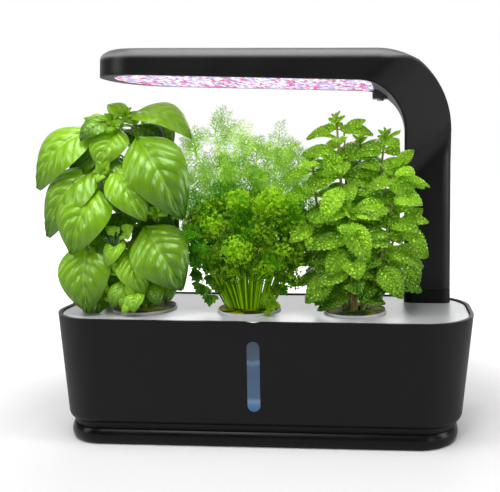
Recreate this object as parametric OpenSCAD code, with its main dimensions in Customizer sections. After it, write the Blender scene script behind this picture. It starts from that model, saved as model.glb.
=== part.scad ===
// Countertop water garden: a tapered reservoir tub on a bulging plinth, a lift-out grow deck
// with three pods, and a lamp arm that slides up a mast at the right rear.
// Millimetres. +X right, -Y front, +Z up; z = 0 is the table, x = y = 0 the middle of the tub.

/* [Tub] */
// Outer length over the rim
tub_len = 321; // [260:1:420]
// Outer depth over the rim
tub_depth = 107; // [100:1:150]
// Corner radius of the rim in plan
tub_r = 40; // [30:1:48]
// Height of the rim above the table
rim_z = 94; // [86:1:120]
// How far each wall leans in between rim and foot
tub_taper = 8.2; // [0:0.1:12]
// Thickness of the side walls
tub_wall = 2.4; // [1.6:0.1:4]
// Thickness of the rim beside the deck
rim_wall = 2.6; // [1.6:0.1:4]
// Radius of the rounded lower edge
edge_r = 7; // [3:0.5:10]
// Underside of the tub above the table
tub_z = 13.4; // [12:0.1:20]
// Top of the reservoir floor
floor_z = 21; // [19:0.5:30]
// Thickness of the reservoir floor
floor_t = 2.4; // [1.6:0.1:4]
// Drop from the rim to the ledge under the deck
ledge_drop = 4.8; // [4:0.1:8]
// Width of the ledge under the deck
ledge_w = 2.8; // [2:0.1:5]
// Width of the finger notch in the front rim
notch_w = 11; // [8:1:30]
// Depth of the finger notch in the front rim
notch_d = 1.1; // [0.5:0.1:3]

/* [Sight window] */
// Centre of the window along the front
window_x = -2.4; // [-60:0.1:60]
// Height of the window's centre above the table
window_z = 53; // [45:0.5:60]
// Width of the window
window_w = 9.4; // [6:0.1:16]
// Height of the window
window_h = 53; // [30:1:56]
// Width of the gasket around the window
gasket_w = 2.5; // [1.5:0.1:4]
// Thickness of the gasket
gasket_t = 1.2; // [0.8:0.1:2]

/* [Plinth] */
// How far the plinth's ends stay in under the rim
plinth_in_x = 11.9; // [8:0.1:16]
// How far the plinth's front and back stay in under the rim
plinth_in_y = 6.9; // [5:0.1:10]
// How much tighter the plinth's corners are than the rim's
plinth_in_r = 8.6; // [6:0.1:12]
// Top of the plinth
plinth_top = 11; // [10:0.1:13]
// Lower edge of the plinth
plinth_z0 = 0.6; // [0.3:0.1:1]
// Radius of the bulge
bulge_r = 9; // [7:0.5:14]
// Wall of the plinth
plinth_wall = 2.4; // [1.6:0.1:4]
// Width of the plinth's top flange
flange_w = 15.6; // [12:0.1:20]
// Thickness of the top flange
flange_t = 2.4; // [1.6:0.1:4]
// Thickness of the bottom cover
cover_t = 2; // [1.6:0.1:3]
// Underside of the bottom cover
cover_z = 1.6; // [1.2:0.1:3]
// Radius of a rubber foot
foot_r = 8; // [5:0.5:10]
// Depth that a foot is let into the cover
foot_inset = 0.8; // [0.4:0.1:1]

/* [Grow deck] */
// Thickness of the deck plate
deck_t = 2.8; // [2:0.1:4]
// Drop from the rim to the top of the deck
deck_drop = 1; // [0.5:0.1:2]
// Gap between deck and rim
deck_gap = 0.7; // [0.4:0.1:1.2]
// Radius of the rolled deck edge
deck_edge = 1.4; // [0.6:0.1:2]
// Height of the deck's locating skirt
skirt_h = 5; // [3:0.1:8]
// Thickness of the deck's locating skirt
skirt_t = 2; // [1.2:0.1:3]
// Distance of the left pod from the tub's left end
pod_end = 63.5; // [56:0.5:80]
// Distance of the right pod from the dry bay's wall
pod_in = 32; // [28:0.5:40]
// Pod row's place from front to back
pod_y = -9.5; // [-12:0.5:0]

/* [Pods] */
// Radius of the basket's collar
collar_r = 24.4; // [24:0.1:28]
// Thickness of the collar
collar_t = 1.6; // [1.2:0.1:2.5]
// Radius of the basket under the collar
basket_r = 20; // [16:0.5:22]
// Radius of the basket at its foot
basket_foot_r = 15.5; // [12:0.5:18]
// Height of the basket below the deck's top
basket_h = 44; // [30:1:50]
// Wall of the basket
basket_wall = 1.3; // [1:0.1:2]
// Slots around a basket
basket_slots = 8; // [4:1:12]
// Radius of the label disc
label_r = 23.5; // [20:0.5:25]
// Thickness of the label disc
label_t = 0.6; // [0.3:0.1:1]
// Radius of the hole in the label
label_hole_r = 9; // [6:0.5:12]

/* [Lamp arm] */
// Length of the arm from the hood's left end to the post's right face
arm_len = 278.7; // [230:0.1:300]
// Depth of the hood from front to back
hood_d = 88; // [70:1:100]
// How far the arm's back stays in from the tub's back
arm_in_y = 10.5; // [9:0.5:14]
// Corner radius of the hood's left end
hood_r = 40; // [20:1:43]
// Top of the hood
hood_top = 294.2; // [250:0.1:340]
// Thickness of the hood at its left end
hood_h = 20; // [16:0.1:30]
// Drop of the underside between left end and bend
hood_drop = 4.2; // [0:0.1:8]
// Length of the hood's nose, over which its top curves down to the left end
nose_l = 30; // [10:1:50]
// Drop of the top over the nose
nose_drop = 8; // [2:0.5:9]
// Width of the post
post_w = 38.5; // [34:0.1:45]
// Depth of the post
post_d = 19; // [17:0.1:24]
// How far the post's right face stays in from the tub's right end
post_in_x = 14.8; // [12:0.1:20]
// Radius of the post's corners and of the arm's upper edges
arm_r = 7; // [2:0.5:7.5]
// Radius of the outer bend
bend_out = 60; // [45:1:80]
// Radius of the inner bend
bend_in = 36; // [25:1:45]
// Wall of the arm
arm_wall = 2.7; // [2:0.1:3.5]
// Angle by which the front face sweeps back to the post
sweep_a = 49.5; // [30:0.5:60]
// Where the sweep starts, along the bend's diagonal
sweep_start = -9; // [-20:1:0]
// Rounding where the front face turns back
sweep_r1 = 28; // [10:1:40]
// Rounding where the sweep meets the post
sweep_r2 = 16; // [10:1:60]
// Gap between the arm and the collar on the deck
arm_gap = 0.5; // [0.3:0.1:1]
// Height of the collar round the foot of the mast
collar_h = 10.3; // [6:0.1:20]

/* [Mast] */
// Width of the mast
mast_w = 32.5; // [24:0.1:33]
// Depth of the mast
mast_d = 13; // [9:0.1:13.4]
// Height of the mast above the deck
mast_h = 132; // [100:1:140]
// Wall of the mast
mast_wall = 1.8; // [1.2:0.1:3]
// Thickness of the mast's foot plate
mast_foot = 4; // [3:0.1:8]
// Gap between mast and arm
mast_gap = 0.3; // [0.2:0.05:0.5]
// Gap between friction pad and arm
pad_gap = 0.05; // [0.02:0.01:0.1]
// Lift of the lamp
lamp_travel = 85; // [40:1:90]

/* [Lamp insides] */
// Thickness of the lens
lens_t = 2.4; // [1.6:0.1:4]
// Lip of the hood round the lens
lens_lip = 4; // [3:0.1:6]
// Blind stretch between the hood's left end and the lens
lens_end = 11; // [4:0.5:20]
// Gap round the lens
lens_gap = 0.2; // [0.1:0.05:0.4]
// How far the lens reaches past the start of the bend
lens_past = 10.8; // [0:0.1:13]
// Thickness of the lamp's circuit board
led_board_t = 1.6; // [1:0.1:2]
// Drop from the hood's top to the underside of the lamp's circuit board
led_board_drop = 14.2; // [12:0.1:15]
// Thickness of the heat spreader
spreader_t = 2; // [1:0.1:3]
// Side of a lamp diode
led_size = 3.4; // [2:0.1:5]
// Height of a lamp diode
led_h = 1.2; // [0.6:0.1:2]
// Columns of diodes
led_cols = 14; // [8:1:18]
// Rows of diodes
led_rows = 4; // [2:1:6]

/* [Power button] */
// Distance of the button from the lens's right end
button_in = 42; // [32:1:60]
// Radius of the button
button_r = 7.5; // [5:0.1:10]
// Gap round the button
button_gap = 0.3; // [0.2:0.05:0.5]
// Height that the button stands above the hood
button_proud = 1.4; // [1.2:0.1:3]
// Travel of the button
button_travel = 1; // [0.5:0.1:1.2]

/* [Dry bay] */
// Length of the dry bay from its wall to the tub's right end
bay_l = 59.5; // [56:0.5:64]
// Drop from the rim to the underside of the bay's lid
lid_drop = 15; // [14:0.5:24]
// Thickness of the bay's lid
lid_t = 2; // [1.5:0.1:3]
// Distance of the power inlet from the dry bay's wall
inlet_in = 12; // [11:0.5:15]
// Height of the power inlet
inlet_z = 36; // [32:0.5:50]
// Radius of the power inlet's opening
inlet_r = 6; // [4:0.1:7]
// Radius of the pad round the power inlet
inlet_pad_r = 10; // [8:0.5:12]

/* [Pump] */
// Centre of the pump along the tub
pump_x = 28; // [20:1:32]
// Centre of the pump from front to back
pump_y = 25; // [22:0.5:26]
// Length of the pump
pump_l = 34; // [30:1:40]
// Depth of the pump
pump_w = 24; // [20:1:26]
// Height of the pump's body
pump_h = 22; // [18:1:28]
// Height of the pump's feet
pump_foot_h = 2; // [1:0.1:4]
// Radius of the impeller chamber
chamber_r = 9.5; // [8:0.1:10]
// Radius of the pump shaft
shaft_r = 1.5; // [1:0.1:2]
// Running gap between impeller and shaft
shaft_gap = 0.05; // [0.02:0.01:0.1]

/* [Fasteners] */
// Radius of a base screw's shank
screw_r = 1.3; // [1:0.1:1.6]
// Radius of a screw head
head_r = 2.8; // [2:0.1:3.2]
// Height of a screw head
head_h = 1.6; // [1:0.1:2]
// Gap round a screw's shank in its own thread
thread_gap = 0.05; // [0.02:0.01:0.1]
// Gap round a screw's shank in a clearance hole
hole_gap = 0.4; // [0.2:0.1:0.8]
// Wall round a screw hole
boss_wall = 2.4; // [1.6:0.1:3]

/* [Hidden] */
$fn = 96;
eps = 0.01;
seat_gap = 0.1;             // between a basket and the deck that it stands on
rest_gap = 0.3;             // between the deck's seal and the ledge
part_gap = 0.2;             // round pieces that only locate

cx = tub_len / 2 - tub_r;   // centres of the tub's corners
cy = tub_depth / 2 - tub_r;
notch_r = (notch_w * notch_w / 4 + notch_d * notch_d) / (2 * notch_d);
lean_z = 21;                // height where the lean is measured
lean = atan(tub_taper / (rim_z - lean_z));
edge_c_z = tub_z + edge_r;
edge_c_r = wall_radius(edge_c_z) - edge_r / cos(lean);
ledge_z = rim_z - ledge_drop;
bay_x = tub_len / 2 - bay_l;

plinth_hx = tub_len / 2 - plinth_in_x;
plinth_hy = tub_depth / 2 - plinth_in_y;
plinth_r = tub_r - plinth_in_r;
neck_hx = plinth_hx - 1.3;  // the narrow neck between tub and plinth
neck_hy = plinth_hy - 3.8;
neck_r = plinth_r - 3.1;
neck_wall = 2.4;

cover_r = plinth_r - plinth_wall - part_gap;
plinth_cx = plinth_hx - plinth_r;
plinth_cy = plinth_hy - plinth_r;
foot_in_x = 44.6;           // outer feet in from the plinth's ends and sides
foot_in_y = 22.6;
foot_x = plinth_hx - foot_in_x;
foot_y = plinth_hy - foot_in_y;
foot_places = [[0, 0], [-foot_x, -foot_y], [foot_x, -foot_y], [-foot_x, foot_y], [foot_x, foot_y]];
base_screw_in = 12.6;       // base screws in from the plinth's front and back
base_screw_places = [for (x = [-1, 0, 1], y = [-1, 1]) [x * (plinth_cx + 2), y * (plinth_hy - base_screw_in)]];
screw_top = floor_z - floor_t - 0.8;
boss_r = screw_r + boss_wall;

deck_z = rim_z - deck_drop;          // top of the deck
deck_under = deck_z - deck_t;
deck_r = tub_r - rim_wall - deck_gap;
ledge_in = wall_radius(ledge_z) - tub_wall - ledge_w;
skirt_r = ledge_in - 0.7;
pod_left = pod_end - tub_len / 2;
pod_right = bay_x - pod_in;
pods = [pod_left, (pod_left + pod_right) / 2, pod_right];
collar_z = deck_z + seat_gap;
label_z = collar_z + collar_t;
sponge_top = collar_z - 1;
basket_z = deck_z - basket_h;
grown_h = 181.2;            // height under the lamp that the leaves' places are given for
growth = (hood_top - hood_h - deck_z) / grown_h;
leaf_t = 3;
// Large basil leaves: base, tip and width
basil_leaves = [
    [[-31, -8, 104], [-44, -28, 54], 43],
    [[-34, -2, 112], [-63, -16, 62], 36],
    [[-43, 4, 144], [-86, -8, 102], 38],
    [[-7, -8, 137], [35, -26, 77], 45],
    [[-20, -14, 110], [9, -32, 77], 29],
    [[-21, -3, 142], [-29, -20, 113], 32],
    [[-9, 6, 158], [39, -2, 140], 27],
    [[-33, -12, 59], [-35, -28, 5], 42],
    [[-2, -12, 67], [31, -28, 18], 40],
    [[-49, 4, 75], [-73, -6, 39], 30],
];
// The mint's outer leaves
mint_leaves = [
    [[-3, -24, 71], [11, -32, 45], 22],
    [[-9, -20, 97], [-23, -30, 75], 19],
    [[-7, -20, 51], [-19, -28, 33], 19],
    [[-17, -14, 29], [-36, -22, 12], 20],
    [[32, -10, 105], [57, -14, 99], 12],
    [[36, -6, 69], [56, -16, 47], 16],
    [[34, -8, 49], [49, -18, 26], 18],
    [[19, -12, 37], [37, -24, 17], 21],
];

post_x1 = tub_len / 2 - post_in_x;
post_x0 = post_x1 - post_w;
arm_back = tub_depth / 2 - arm_in_y;
post_front = arm_back - post_d;
hood_x0 = post_x1 - arm_len;
hood_front = arm_back - hood_d;
hood_under = hood_top - hood_h;
post_cx = (post_x0 + post_x1) / 2;
post_cy = (post_front + arm_back) / 2;
arm_z = deck_z + collar_h + arm_gap;
bend_cx = post_x1 - bend_out;
bend_cz = hood_top - bend_out;
in_cx = post_x0 - bend_in;
in_cz = hood_under - hood_drop - bend_in;
slope = atan(hood_drop / (in_cx - hood_x0));
hood_cy = (hood_front + arm_back) / 2;
hood_ty = (arm_back - hood_front) / 2 - hood_r;
ceiling = hood_top - arm_wall;
nose_r = (nose_l * nose_l + nose_drop * nose_drop) / (2 * nose_drop);
arc_steps = 12;             // flats in each rounding of the sweep
corner_run = 16;            // height over which a round post corner fades out
duct_in = 2;                // extra wall over the duct, beside the rounded edge
shoulder_w = 8;             // the hood's hollow is lower and wider under its rounded edges
shoulder_h = 5;
mast_top = deck_z + mast_h;
mast_corner = 2.5;
mast_screw_in = 3.75;       // foot screws in from the mast's sides
mast_screw_places = [for (s = [-1, 1]) [post_cx + s * (mast_w / 2 - mast_screw_in), post_cy]];
pad_w = 18;                 // friction pads at the head of the mast
pad_h = 14;
pad_deep = 1;
pad_z = mast_top - 24;

lens_x1 = in_cx + lens_past;
lens_cx = hood_x0 + lens_end + hood_r - lens_lip;   // centre of the lens's rounded end
latch_w = 13;               // clip that holds the lens at the bend
latch_d = 14;
latch_h = 12;
latch_screw_l = 12;
latch_x = lens_x1 + 5;
latch_y = arm_back - 15;
latch_z = in_cz + bend_in - 8;
button_x = lens_x1 - button_in;
button_y = hood_cy;
led_board_z = hood_top - led_board_drop;
spreader_z = led_board_z + led_board_t;
spreader_top = spreader_z + spreader_t;
board_gap = 2;              // between the boards' corners and the hood
board_x0 = hood_x0 + lens_end + 6;
board_x1 = lens_x1 - 20;
board_y0 = hood_front + 9;
board_y1 = arm_back - 9;
hood_boss_places = [for (x = [board_x0 + 15, board_x1 - 16], y = [board_y0 + 12, board_y1 - 12]) [x, y]];
ribbon_h = 4.5;
button_flange = 1.6;
button_flange_t = 1;
stem_r = 3;
flange_z = ceiling - button_flange_t - 0.4;
stem_z = flange_z - 0.7;
switch_h = stem_z - button_travel - 0.2 - spreader_top;
led_in_x = 12;              // outer diodes in from the board's ends and sides
led_in_y = 7;

lid_z = rim_z - lid_drop;
socket_w = 20;              // plug and socket between deck and dry bay
socket_d = 8;
socket_y = post_cy - 8;
socket_h = deck_under - lid_z - lid_t - 3.6;
pin_r = 0.9;
pin_pitch = 5;
pin_gap = 0.4;
inlet_x = bay_x + inlet_in;
inlet_face = cy + wall_radius(inlet_z) + 1.7;
inlet_l = 6;                // through the pad
jack_slack = 1;             // round the plug inside the jack
jack_pin_r = 1;
jack_pin_back = 4;          // from the pad to the jack's centre pin
jack_l = 15;
lid_screw_places = [[bay_x + 8, -tub_depth / 2 + 18.5], [tub_len / 2 - 16, -12], [tub_len / 2 - 17.5, 20]];
board_z = floor_z + 12;
board_t = 1.6;
board_l = 34;
board_w = 38;
board_x = bay_x + 4.5;
board_y = -30;
board_hole_in = 4;
board_screw_places = [for (x = [0, 1], y = [0, 1])
    [board_x + board_hole_in + x * (board_l - 2 * board_hole_in),
        board_y + board_hole_in + y * (board_w - 2 * board_hole_in)]];
jack_w = 17;

pump_z = floor_z + pump_foot_h;
pump_top = pump_z + pump_h;
cap_t = 3;
impeller_z = pump_top - 8;
impeller_h = 6;
spigot_dx = 11;
lead_z = floor_z + 10;
lead_y = pump_y - 3;
lead_r = 1.8;

// Radius of the tub's wall about a corner's centre at height z
function wall_radius(z) = tub_r - tub_taper * (rim_z - z) / (rim_z - lean_z);

// ---- Shapes that repeat ----

// A block with four round corners at (+-bx, +-by); children() is the half profile
// (radius from the corner's centre, height) and z0..z1 its height range.
module rounded_block(bx, by, z0, z1) {
    for (sx = [-1, 1], sy = [-1, 1])
        translate([sx * bx, sy * by, 0])
            rotate_extrude()
                children();
    rotate([90, 0, 90])
        linear_extrude(2 * bx, center = true)
            for (m = [0, 1])
                mirror([m, 0])
                    translate([by, 0])
                        children();
    rotate([90, 0, 0])
        linear_extrude(2 * by, center = true)
            for (m = [0, 1])
                mirror([m, 0])
                    translate([bx, 0])
                        children();
    translate([-bx, -by, z0])
        cube([2 * bx, 2 * by, z1 - z0]);
}

// A plain upright block with round corners of radius r about (+-bx, +-by)
module plain_block(bx, by, r, z0, z1) {
    rounded_block(bx, by, z0, z1)
        translate([0, z0])
            square([r, z1 - z0]);
}

// An upright box with round corners, centred on (x, y)
module upright(x, y, w, d, r, z0, z1) {
    translate([x, y, z0])
        linear_extrude(z1 - z0)
            round_rect(w, d, r);
}

module round_rect(w, d, r) {
    square([w - 2 * r, d], center = true);
    square([w, d - 2 * r], center = true);
    for (sx = [-1, 1], sy = [-1, 1])
        translate([sx * (w / 2 - r), sy * (d / 2 - r)])
            circle(r);
}

// A stadium, upright in the drawing plane
module stadium(w, h) {
    square([w, h - w], center = true);
    for (s = [-1, 1])
        translate([0, s * (h - w) / 2])
            circle(w / 2);
}

// A pan-head screw pointing up; its head's underside is the seat at z
module screw_up(x, y, z, tip) {
    translate([x, y, z - head_h])
        cylinder(r = head_r, h = head_h);
    translate([x, y, z - head_h / 2])
        cylinder(r = screw_r, h = tip - z + head_h / 2);
}

// A pan-head screw pointing down; its head's underside is the seat at z
module screw_down(x, y, z, tip) {
    translate([x, y, z])
        cylinder(r = head_r, h = head_h);
    translate([x, y, tip])
        cylinder(r = screw_r, h = z - tip + head_h / 2);
}

// ---- Tub and plinth ----

module tub_profile() {
    tangent_r = edge_c_r + edge_r * cos(lean);
    tangent_z = edge_c_z - edge_r * sin(lean);
    polygon([[0, tub_z], [edge_c_r, tub_z], [tangent_r, tangent_z], [tub_r, rim_z], [0, rim_z]]);
    translate([edge_c_r, edge_c_z])
        circle(edge_r);
}

module tub_hollow_profile() {
    foot = wall_radius(floor_z) - tub_wall;
    neck = ledge_z - 5;
    polygon([[0, floor_z], [foot, floor_z], [wall_radius(neck) - tub_wall, neck],
        [ledge_in, ledge_z - 1.2], [ledge_in, ledge_z], [tub_r - rim_wall, ledge_z],
        [tub_r - rim_wall, rim_z + 1], [0, rim_z + 1]]);
}

// Places its children on the leaning front wall: local z points out of the wall
module on_front_wall() {
    wall_y = -cy - wall_radius(window_z);
    translate([window_x, wall_y, window_z])
        rotate([90 + lean, 0, 0])
            children();
}

module tub() {
    color([0.035, 0.035, 0.04]) {
        difference() {
            union() {
                difference() {
                    union() {
                        rounded_block(cx, cy, tub_z, rim_z)
                            tub_profile();
                        plain_block(neck_hx - neck_r, neck_hy - neck_r, neck_r, plinth_top, edge_c_z);
                    }
                    rounded_block(cx, cy, floor_z, rim_z + 1)
                        tub_hollow_profile();
                }
                translate([inlet_x, inlet_face, inlet_z])
                    rotate([90, 0, 0])
                        cylinder(r = inlet_pad_r, h = inlet_l);
            }
            plain_block(neck_hx - neck_r, neck_hy - neck_r, neck_r - neck_wall,
                plinth_top - 1, floor_z - floor_t);
            on_front_wall()
                translate([0, 0, -2 * tub_wall])
                    linear_extrude(4 * tub_wall)
                        stadium(window_w + 2 * part_gap, window_h + 2 * part_gap);
            translate([window_x, -tub_depth / 2, rim_z + notch_r - notch_d])
                rotate([90, 0, 0])
                    cylinder(r = notch_r, h = 2 * rim_wall + 0.4, center = true);
            translate([inlet_x, inlet_face + 1, inlet_z])
                rotate([90, 0, 0])
                    cylinder(r = inlet_r, h = inlet_l + 2);
        }
        difference() {
            intersection() {
                rounded_block(cx, cy, tub_z, rim_z)
                    tub_profile();
                translate([bay_x, -tub_depth / 2, floor_z - eps])
                    cube([tub_wall, tub_depth, lid_z + lid_t - floor_z]);
            }
            translate([bay_x - 1, lead_y, lead_z])
                rotate([0, 90, 0])
                    cylinder(r = lead_r + 2, h = tub_wall + 2);
        }
        for (p = base_screw_places)
            boss(p.x, p.y, plinth_top, floor_z - floor_t + eps, screw_top);
        for (p = lid_screw_places)
            difference() {
                translate([p.x, p.y, floor_z - eps])
                    cylinder(r = boss_r, h = lid_z - floor_z + eps);
                translate([p.x, p.y, lid_z - 9])
                    cylinder(r = screw_r + thread_gap, h = 10);
            }
        for (p = board_screw_places)
            difference() {
                translate([p.x, p.y, floor_z - eps])
                    cylinder(r = boss_r, h = board_z - floor_z + eps);
                translate([p.x, p.y, board_z - 9])
                    cylinder(r = screw_r + thread_gap, h = 10);
            }
    }
}

// A boss hanging from z1 down to z0, drilled from below up to top
module boss(x, y, z0, z1, top) {
    difference() {
        translate([x, y, z0])
            cylinder(r = boss_r, h = z1 - z0);
        translate([x, y, z0 - 1])
            cylinder(r = screw_r + thread_gap, h = top - z0 + 1);
    }
}

module sight_window() {
    color([0.22, 0.42, 0.6, 0.6])
        on_front_wall()
            translate([0, 0, -tub_wall])
                linear_extrude(tub_wall)
                    stadium(window_w, window_h);
}

module window_gasket() {
    color([0.08, 0.08, 0.09])
        on_front_wall()
            translate([0, 0, -tub_wall - gasket_t])
                linear_extrude(gasket_t)
                    difference() {
                        stadium(window_w + 2 * gasket_w, window_h + 2 * gasket_w);
                        stadium(window_w - 2, window_h - 2);
                    }
}

module plinth_profile(r) {
    translate([0, plinth_z0])
        square([r - bulge_r, plinth_top - plinth_z0]);
    intersection() {
        translate([r - bulge_r, (plinth_top + plinth_z0) / 2])
            circle(bulge_r);
        translate([0, plinth_z0])
            square([r + 1, plinth_top - plinth_z0]);
    }
}

module base_plinth() {
    color([0.03, 0.03, 0.035]) {
        difference() {
            rounded_block(plinth_cx, plinth_cy, plinth_z0, plinth_top)
                plinth_profile(plinth_r);
            plain_block(plinth_cx, plinth_cy, plinth_r - plinth_wall, 0, plinth_top - flange_t);
            plain_block(plinth_cx, plinth_cy, plinth_r - plinth_wall - flange_w, 0, plinth_top + 1);
            base_screw_holes();
        }
        difference() {
            for (p = base_screw_places)
                translate([p.x, p.y, cover_z + cover_t])
                    cylinder(r = boss_r, h = plinth_top - cover_z - cover_t - eps);
            base_screw_holes();
        }
    }
}

module base_screw_holes() {
    for (p = base_screw_places)
        translate([p.x, p.y, 0])
            cylinder(r = screw_r + hole_gap, h = plinth_top + 1);
}

module bottom_cover() {
    color([0.05, 0.05, 0.055])
        difference() {
            plain_block(plinth_cx, plinth_cy, cover_r, cover_z, cover_z + cover_t);
            for (p = foot_places)
                translate([p.x, p.y, cover_z - 1])
                    cylinder(r = foot_r + part_gap, h = 1 + foot_inset);
            for (p = base_screw_places) {
                translate([p.x, p.y, 0])
                    cylinder(r = screw_r + hole_gap, h = 10);
                translate([p.x, p.y, 0])
                    cylinder(r = head_r + hole_gap, h = cover_z + 0.8);
            }
        }
}

module rubber_feet() {
    color([0.1, 0.1, 0.1])
        for (p = foot_places)
            translate([p.x, p.y, 0])
                cylinder(r = foot_r, h = cover_z + foot_inset);
}

module base_screws() {
    color([0.6, 0.6, 0.62])
        for (p = base_screw_places)
            screw_up(p.x, p.y, cover_z + 0.8, screw_top - 1);
}

// ---- Dry bay at the right end ----

module bay_lid() {
    color([0.1, 0.1, 0.11])
        difference() {
            intersection() {
                plain_block(cx, cy, wall_radius(lid_z) - tub_wall - 0.6, lid_z, lid_z + lid_t);
                translate([bay_x + tub_wall + part_gap, -tub_depth, lid_z - 1])
                    cube([tub_len, 2 * tub_depth, lid_t + 2]);
            }
            for (p = lid_screw_places)
                translate([p.x, p.y, lid_z - 1])
                    cylinder(r = screw_r + hole_gap, h = lid_t + 2);
            translate([post_cx - 6, socket_y - 2, lid_z - 1])
                cube([12, 4, lid_t + 2]);
        }
}

module lid_screws() {
    color([0.6, 0.6, 0.62])
        for (p = lid_screw_places)
            screw_down(p.x, p.y, lid_z + lid_t, lid_z - 7);
}

module contact_socket() {
    color([0.12, 0.12, 0.13])
        difference() {
            translate([post_cx - socket_w / 2, socket_y - socket_d / 2, lid_z + lid_t])
                cube([socket_w, socket_d, socket_h]);
            for (i = [-1, 0, 1])
                translate([post_cx + i * pin_pitch, socket_y, lid_z + lid_t + 1])
                    cylinder(r = pin_r + pin_gap, h = socket_h);
        }
}

module contact_plug() {
    plug_z = lid_z + lid_t + socket_h + 0.4;
    color([0.12, 0.12, 0.13]) {
        translate([post_cx - socket_w / 2, socket_y - socket_d / 2, plug_z])
            cube([socket_w, socket_d, deck_under - plug_z]);
        for (i = [-1, 0, 1])
            translate([post_cx + i * pin_pitch, socket_y, plug_z - 3])
                cylinder(r = pin_r, h = 4);
    }
}

module power_inlet() {
    in_face = inlet_face - inlet_l;     // back of the pad, inside the bay
    color([0.07, 0.07, 0.08])
        difference() {
            translate([inlet_x - jack_w / 2, in_face - jack_l, inlet_z - jack_w / 2])
                cube([jack_w, jack_l, jack_w]);
            translate([inlet_x, in_face + 1, inlet_z])
                rotate([90, 0, 0])
                    cylinder(r = inlet_r + jack_slack, h = jack_l - 2);
        }
    color([0.75, 0.75, 0.76])
        translate([inlet_x, in_face - jack_pin_back, inlet_z])
            rotate([90, 0, 0])
                cylinder(r = jack_pin_r, h = jack_l - jack_pin_back - 1);
}

module control_board() {
    top = board_z + board_t;
    color([0.05, 0.25, 0.12])
        difference() {
            translate([board_x, board_y, board_z])
                cube([board_l, board_w, board_t]);
            for (p = board_screw_places)
                translate([p.x, p.y, board_z - 1])
                    cylinder(r = screw_r + hole_gap, h = board_t + 2);
        }
    color([0.15, 0.15, 0.16]) {
        translate([board_x + 10, board_y + 10, top - eps])
            cube([12, 12, 3]);
        translate([board_x + 9, board_y + 26, top - eps])
            cube([14, 8, 6]);
        translate([board_x + 28, board_y + 18, top - eps])
            cylinder(r = 4, h = 9);
    }
}

module board_screws() {
    color([0.6, 0.6, 0.62])
        for (p = board_screw_places)
            screw_down(p.x, p.y, board_z + board_t, board_z - 7);
}

// ---- Pump ----

module pump_body() {
    color([0.06, 0.06, 0.07])
        difference() {
            upright(pump_x, pump_y, pump_l, pump_w, 3, pump_z, pump_top);
            translate([pump_x, pump_y, impeller_z - 1])
                cylinder(r = chamber_r, h = pump_h);
            translate([pump_x, pump_y, impeller_z - 9])
                cylinder(r = shaft_r + thread_gap, h = pump_h);
            translate([pump_x - pump_l / 2 - 1, pump_y - 4, impeller_z + 1])
                cube([pump_l / 2, 8, 4]);
        }
}

module pump_cap() {
    color([0.1, 0.1, 0.11]) {
        difference() {
            union() {
                upright(pump_x, pump_y, pump_l, pump_w, 3, pump_top, pump_top + cap_t);
                translate([pump_x + spigot_dx, pump_y, pump_top])
                    cylinder(r = 3.2, h = cap_t + 9);
            }
            translate([pump_x + spigot_dx, pump_y, pump_top + 1])
                cylinder(r = 2, h = cap_t + 20);
            translate([pump_x + chamber_r - 4, pump_y - 1.5, pump_top - 1])
                cube([spigot_dx - chamber_r + 4, 3, 3]);
        }
    }
}

module pump_shaft() {
    color([0.8, 0.8, 0.82])
        translate([pump_x, pump_y, impeller_z - 8.5])
            cylinder(r = shaft_r, h = pump_top - impeller_z + 8.3);
}

module pump_impeller() {
    blade = chamber_r - 1;
    color([0.85, 0.85, 0.85])
        difference() {
            union() {
                translate([pump_x, pump_y, impeller_z])
                    cylinder(r = 3.6, h = impeller_h);
                for (a = [0:60:359])
                    translate([pump_x, pump_y, impeller_z])
                        rotate([0, 0, a])
                            translate([0, -0.6, 0])
                                cube([blade, 1.2, impeller_h]);
            }
            translate([pump_x, pump_y, impeller_z - 1])
                cylinder(r = shaft_r + shaft_gap, h = impeller_h + 2);
        }
}

module pump_filter() {
    color([0.2, 0.2, 0.22])
        translate([pump_x - pump_l / 2 - 8, pump_y - 9, pump_z])
            cube([8, 18, pump_h]);
}

module pump_tube() {
    tube_z = pump_top + cap_t;
    color([0.75, 0.8, 0.82])
        translate([pump_x + spigot_dx, pump_y, tube_z])
            difference() {
                cylinder(r = 4.6, h = ledge_z - 12 - tube_z);
                translate([0, 0, -1])
                    cylinder(r = 3.25, h = 60);
            }
}

module pump_feet() {
    color([0.1, 0.1, 0.1])
        for (sx = [-1, 1], sy = [-1, 1])
            translate([pump_x + sx * (pump_l / 2 - 6), pump_y + sy * (pump_w / 2 - 6), floor_z])
                cylinder(r = 4, h = pump_foot_h);
}

module pump_lead() {
    start = pump_x + pump_l / 2;
    color([0.05, 0.05, 0.05])
        translate([start, lead_y, lead_z])
            rotate([0, 90, 0])
                cylinder(r = lead_r, h = bay_x + tub_wall + 3 - start);
}

module wire_grommet() {
    color([0.15, 0.15, 0.15])
        translate([bay_x - 1, lead_y, lead_z])
            rotate([0, 90, 0])
                difference() {
                    union() {
                        cylinder(r = lead_r + 2 - thread_gap, h = tub_wall + 2);
                        cylinder(r = lead_r + 3.4, h = 1);
                    }
                    translate([0, 0, -1])
                        cylinder(r = lead_r + thread_gap, h = tub_wall + 6);
                }
}

// ---- Grow deck ----

module deck_profile() {
    translate([0, deck_under])
        square([deck_r - deck_edge, deck_t]);
    translate([0, deck_under])
        square([deck_r, deck_t - deck_edge]);
    translate([deck_r - deck_edge, deck_z - deck_edge])
        circle(deck_edge);
}

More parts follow.
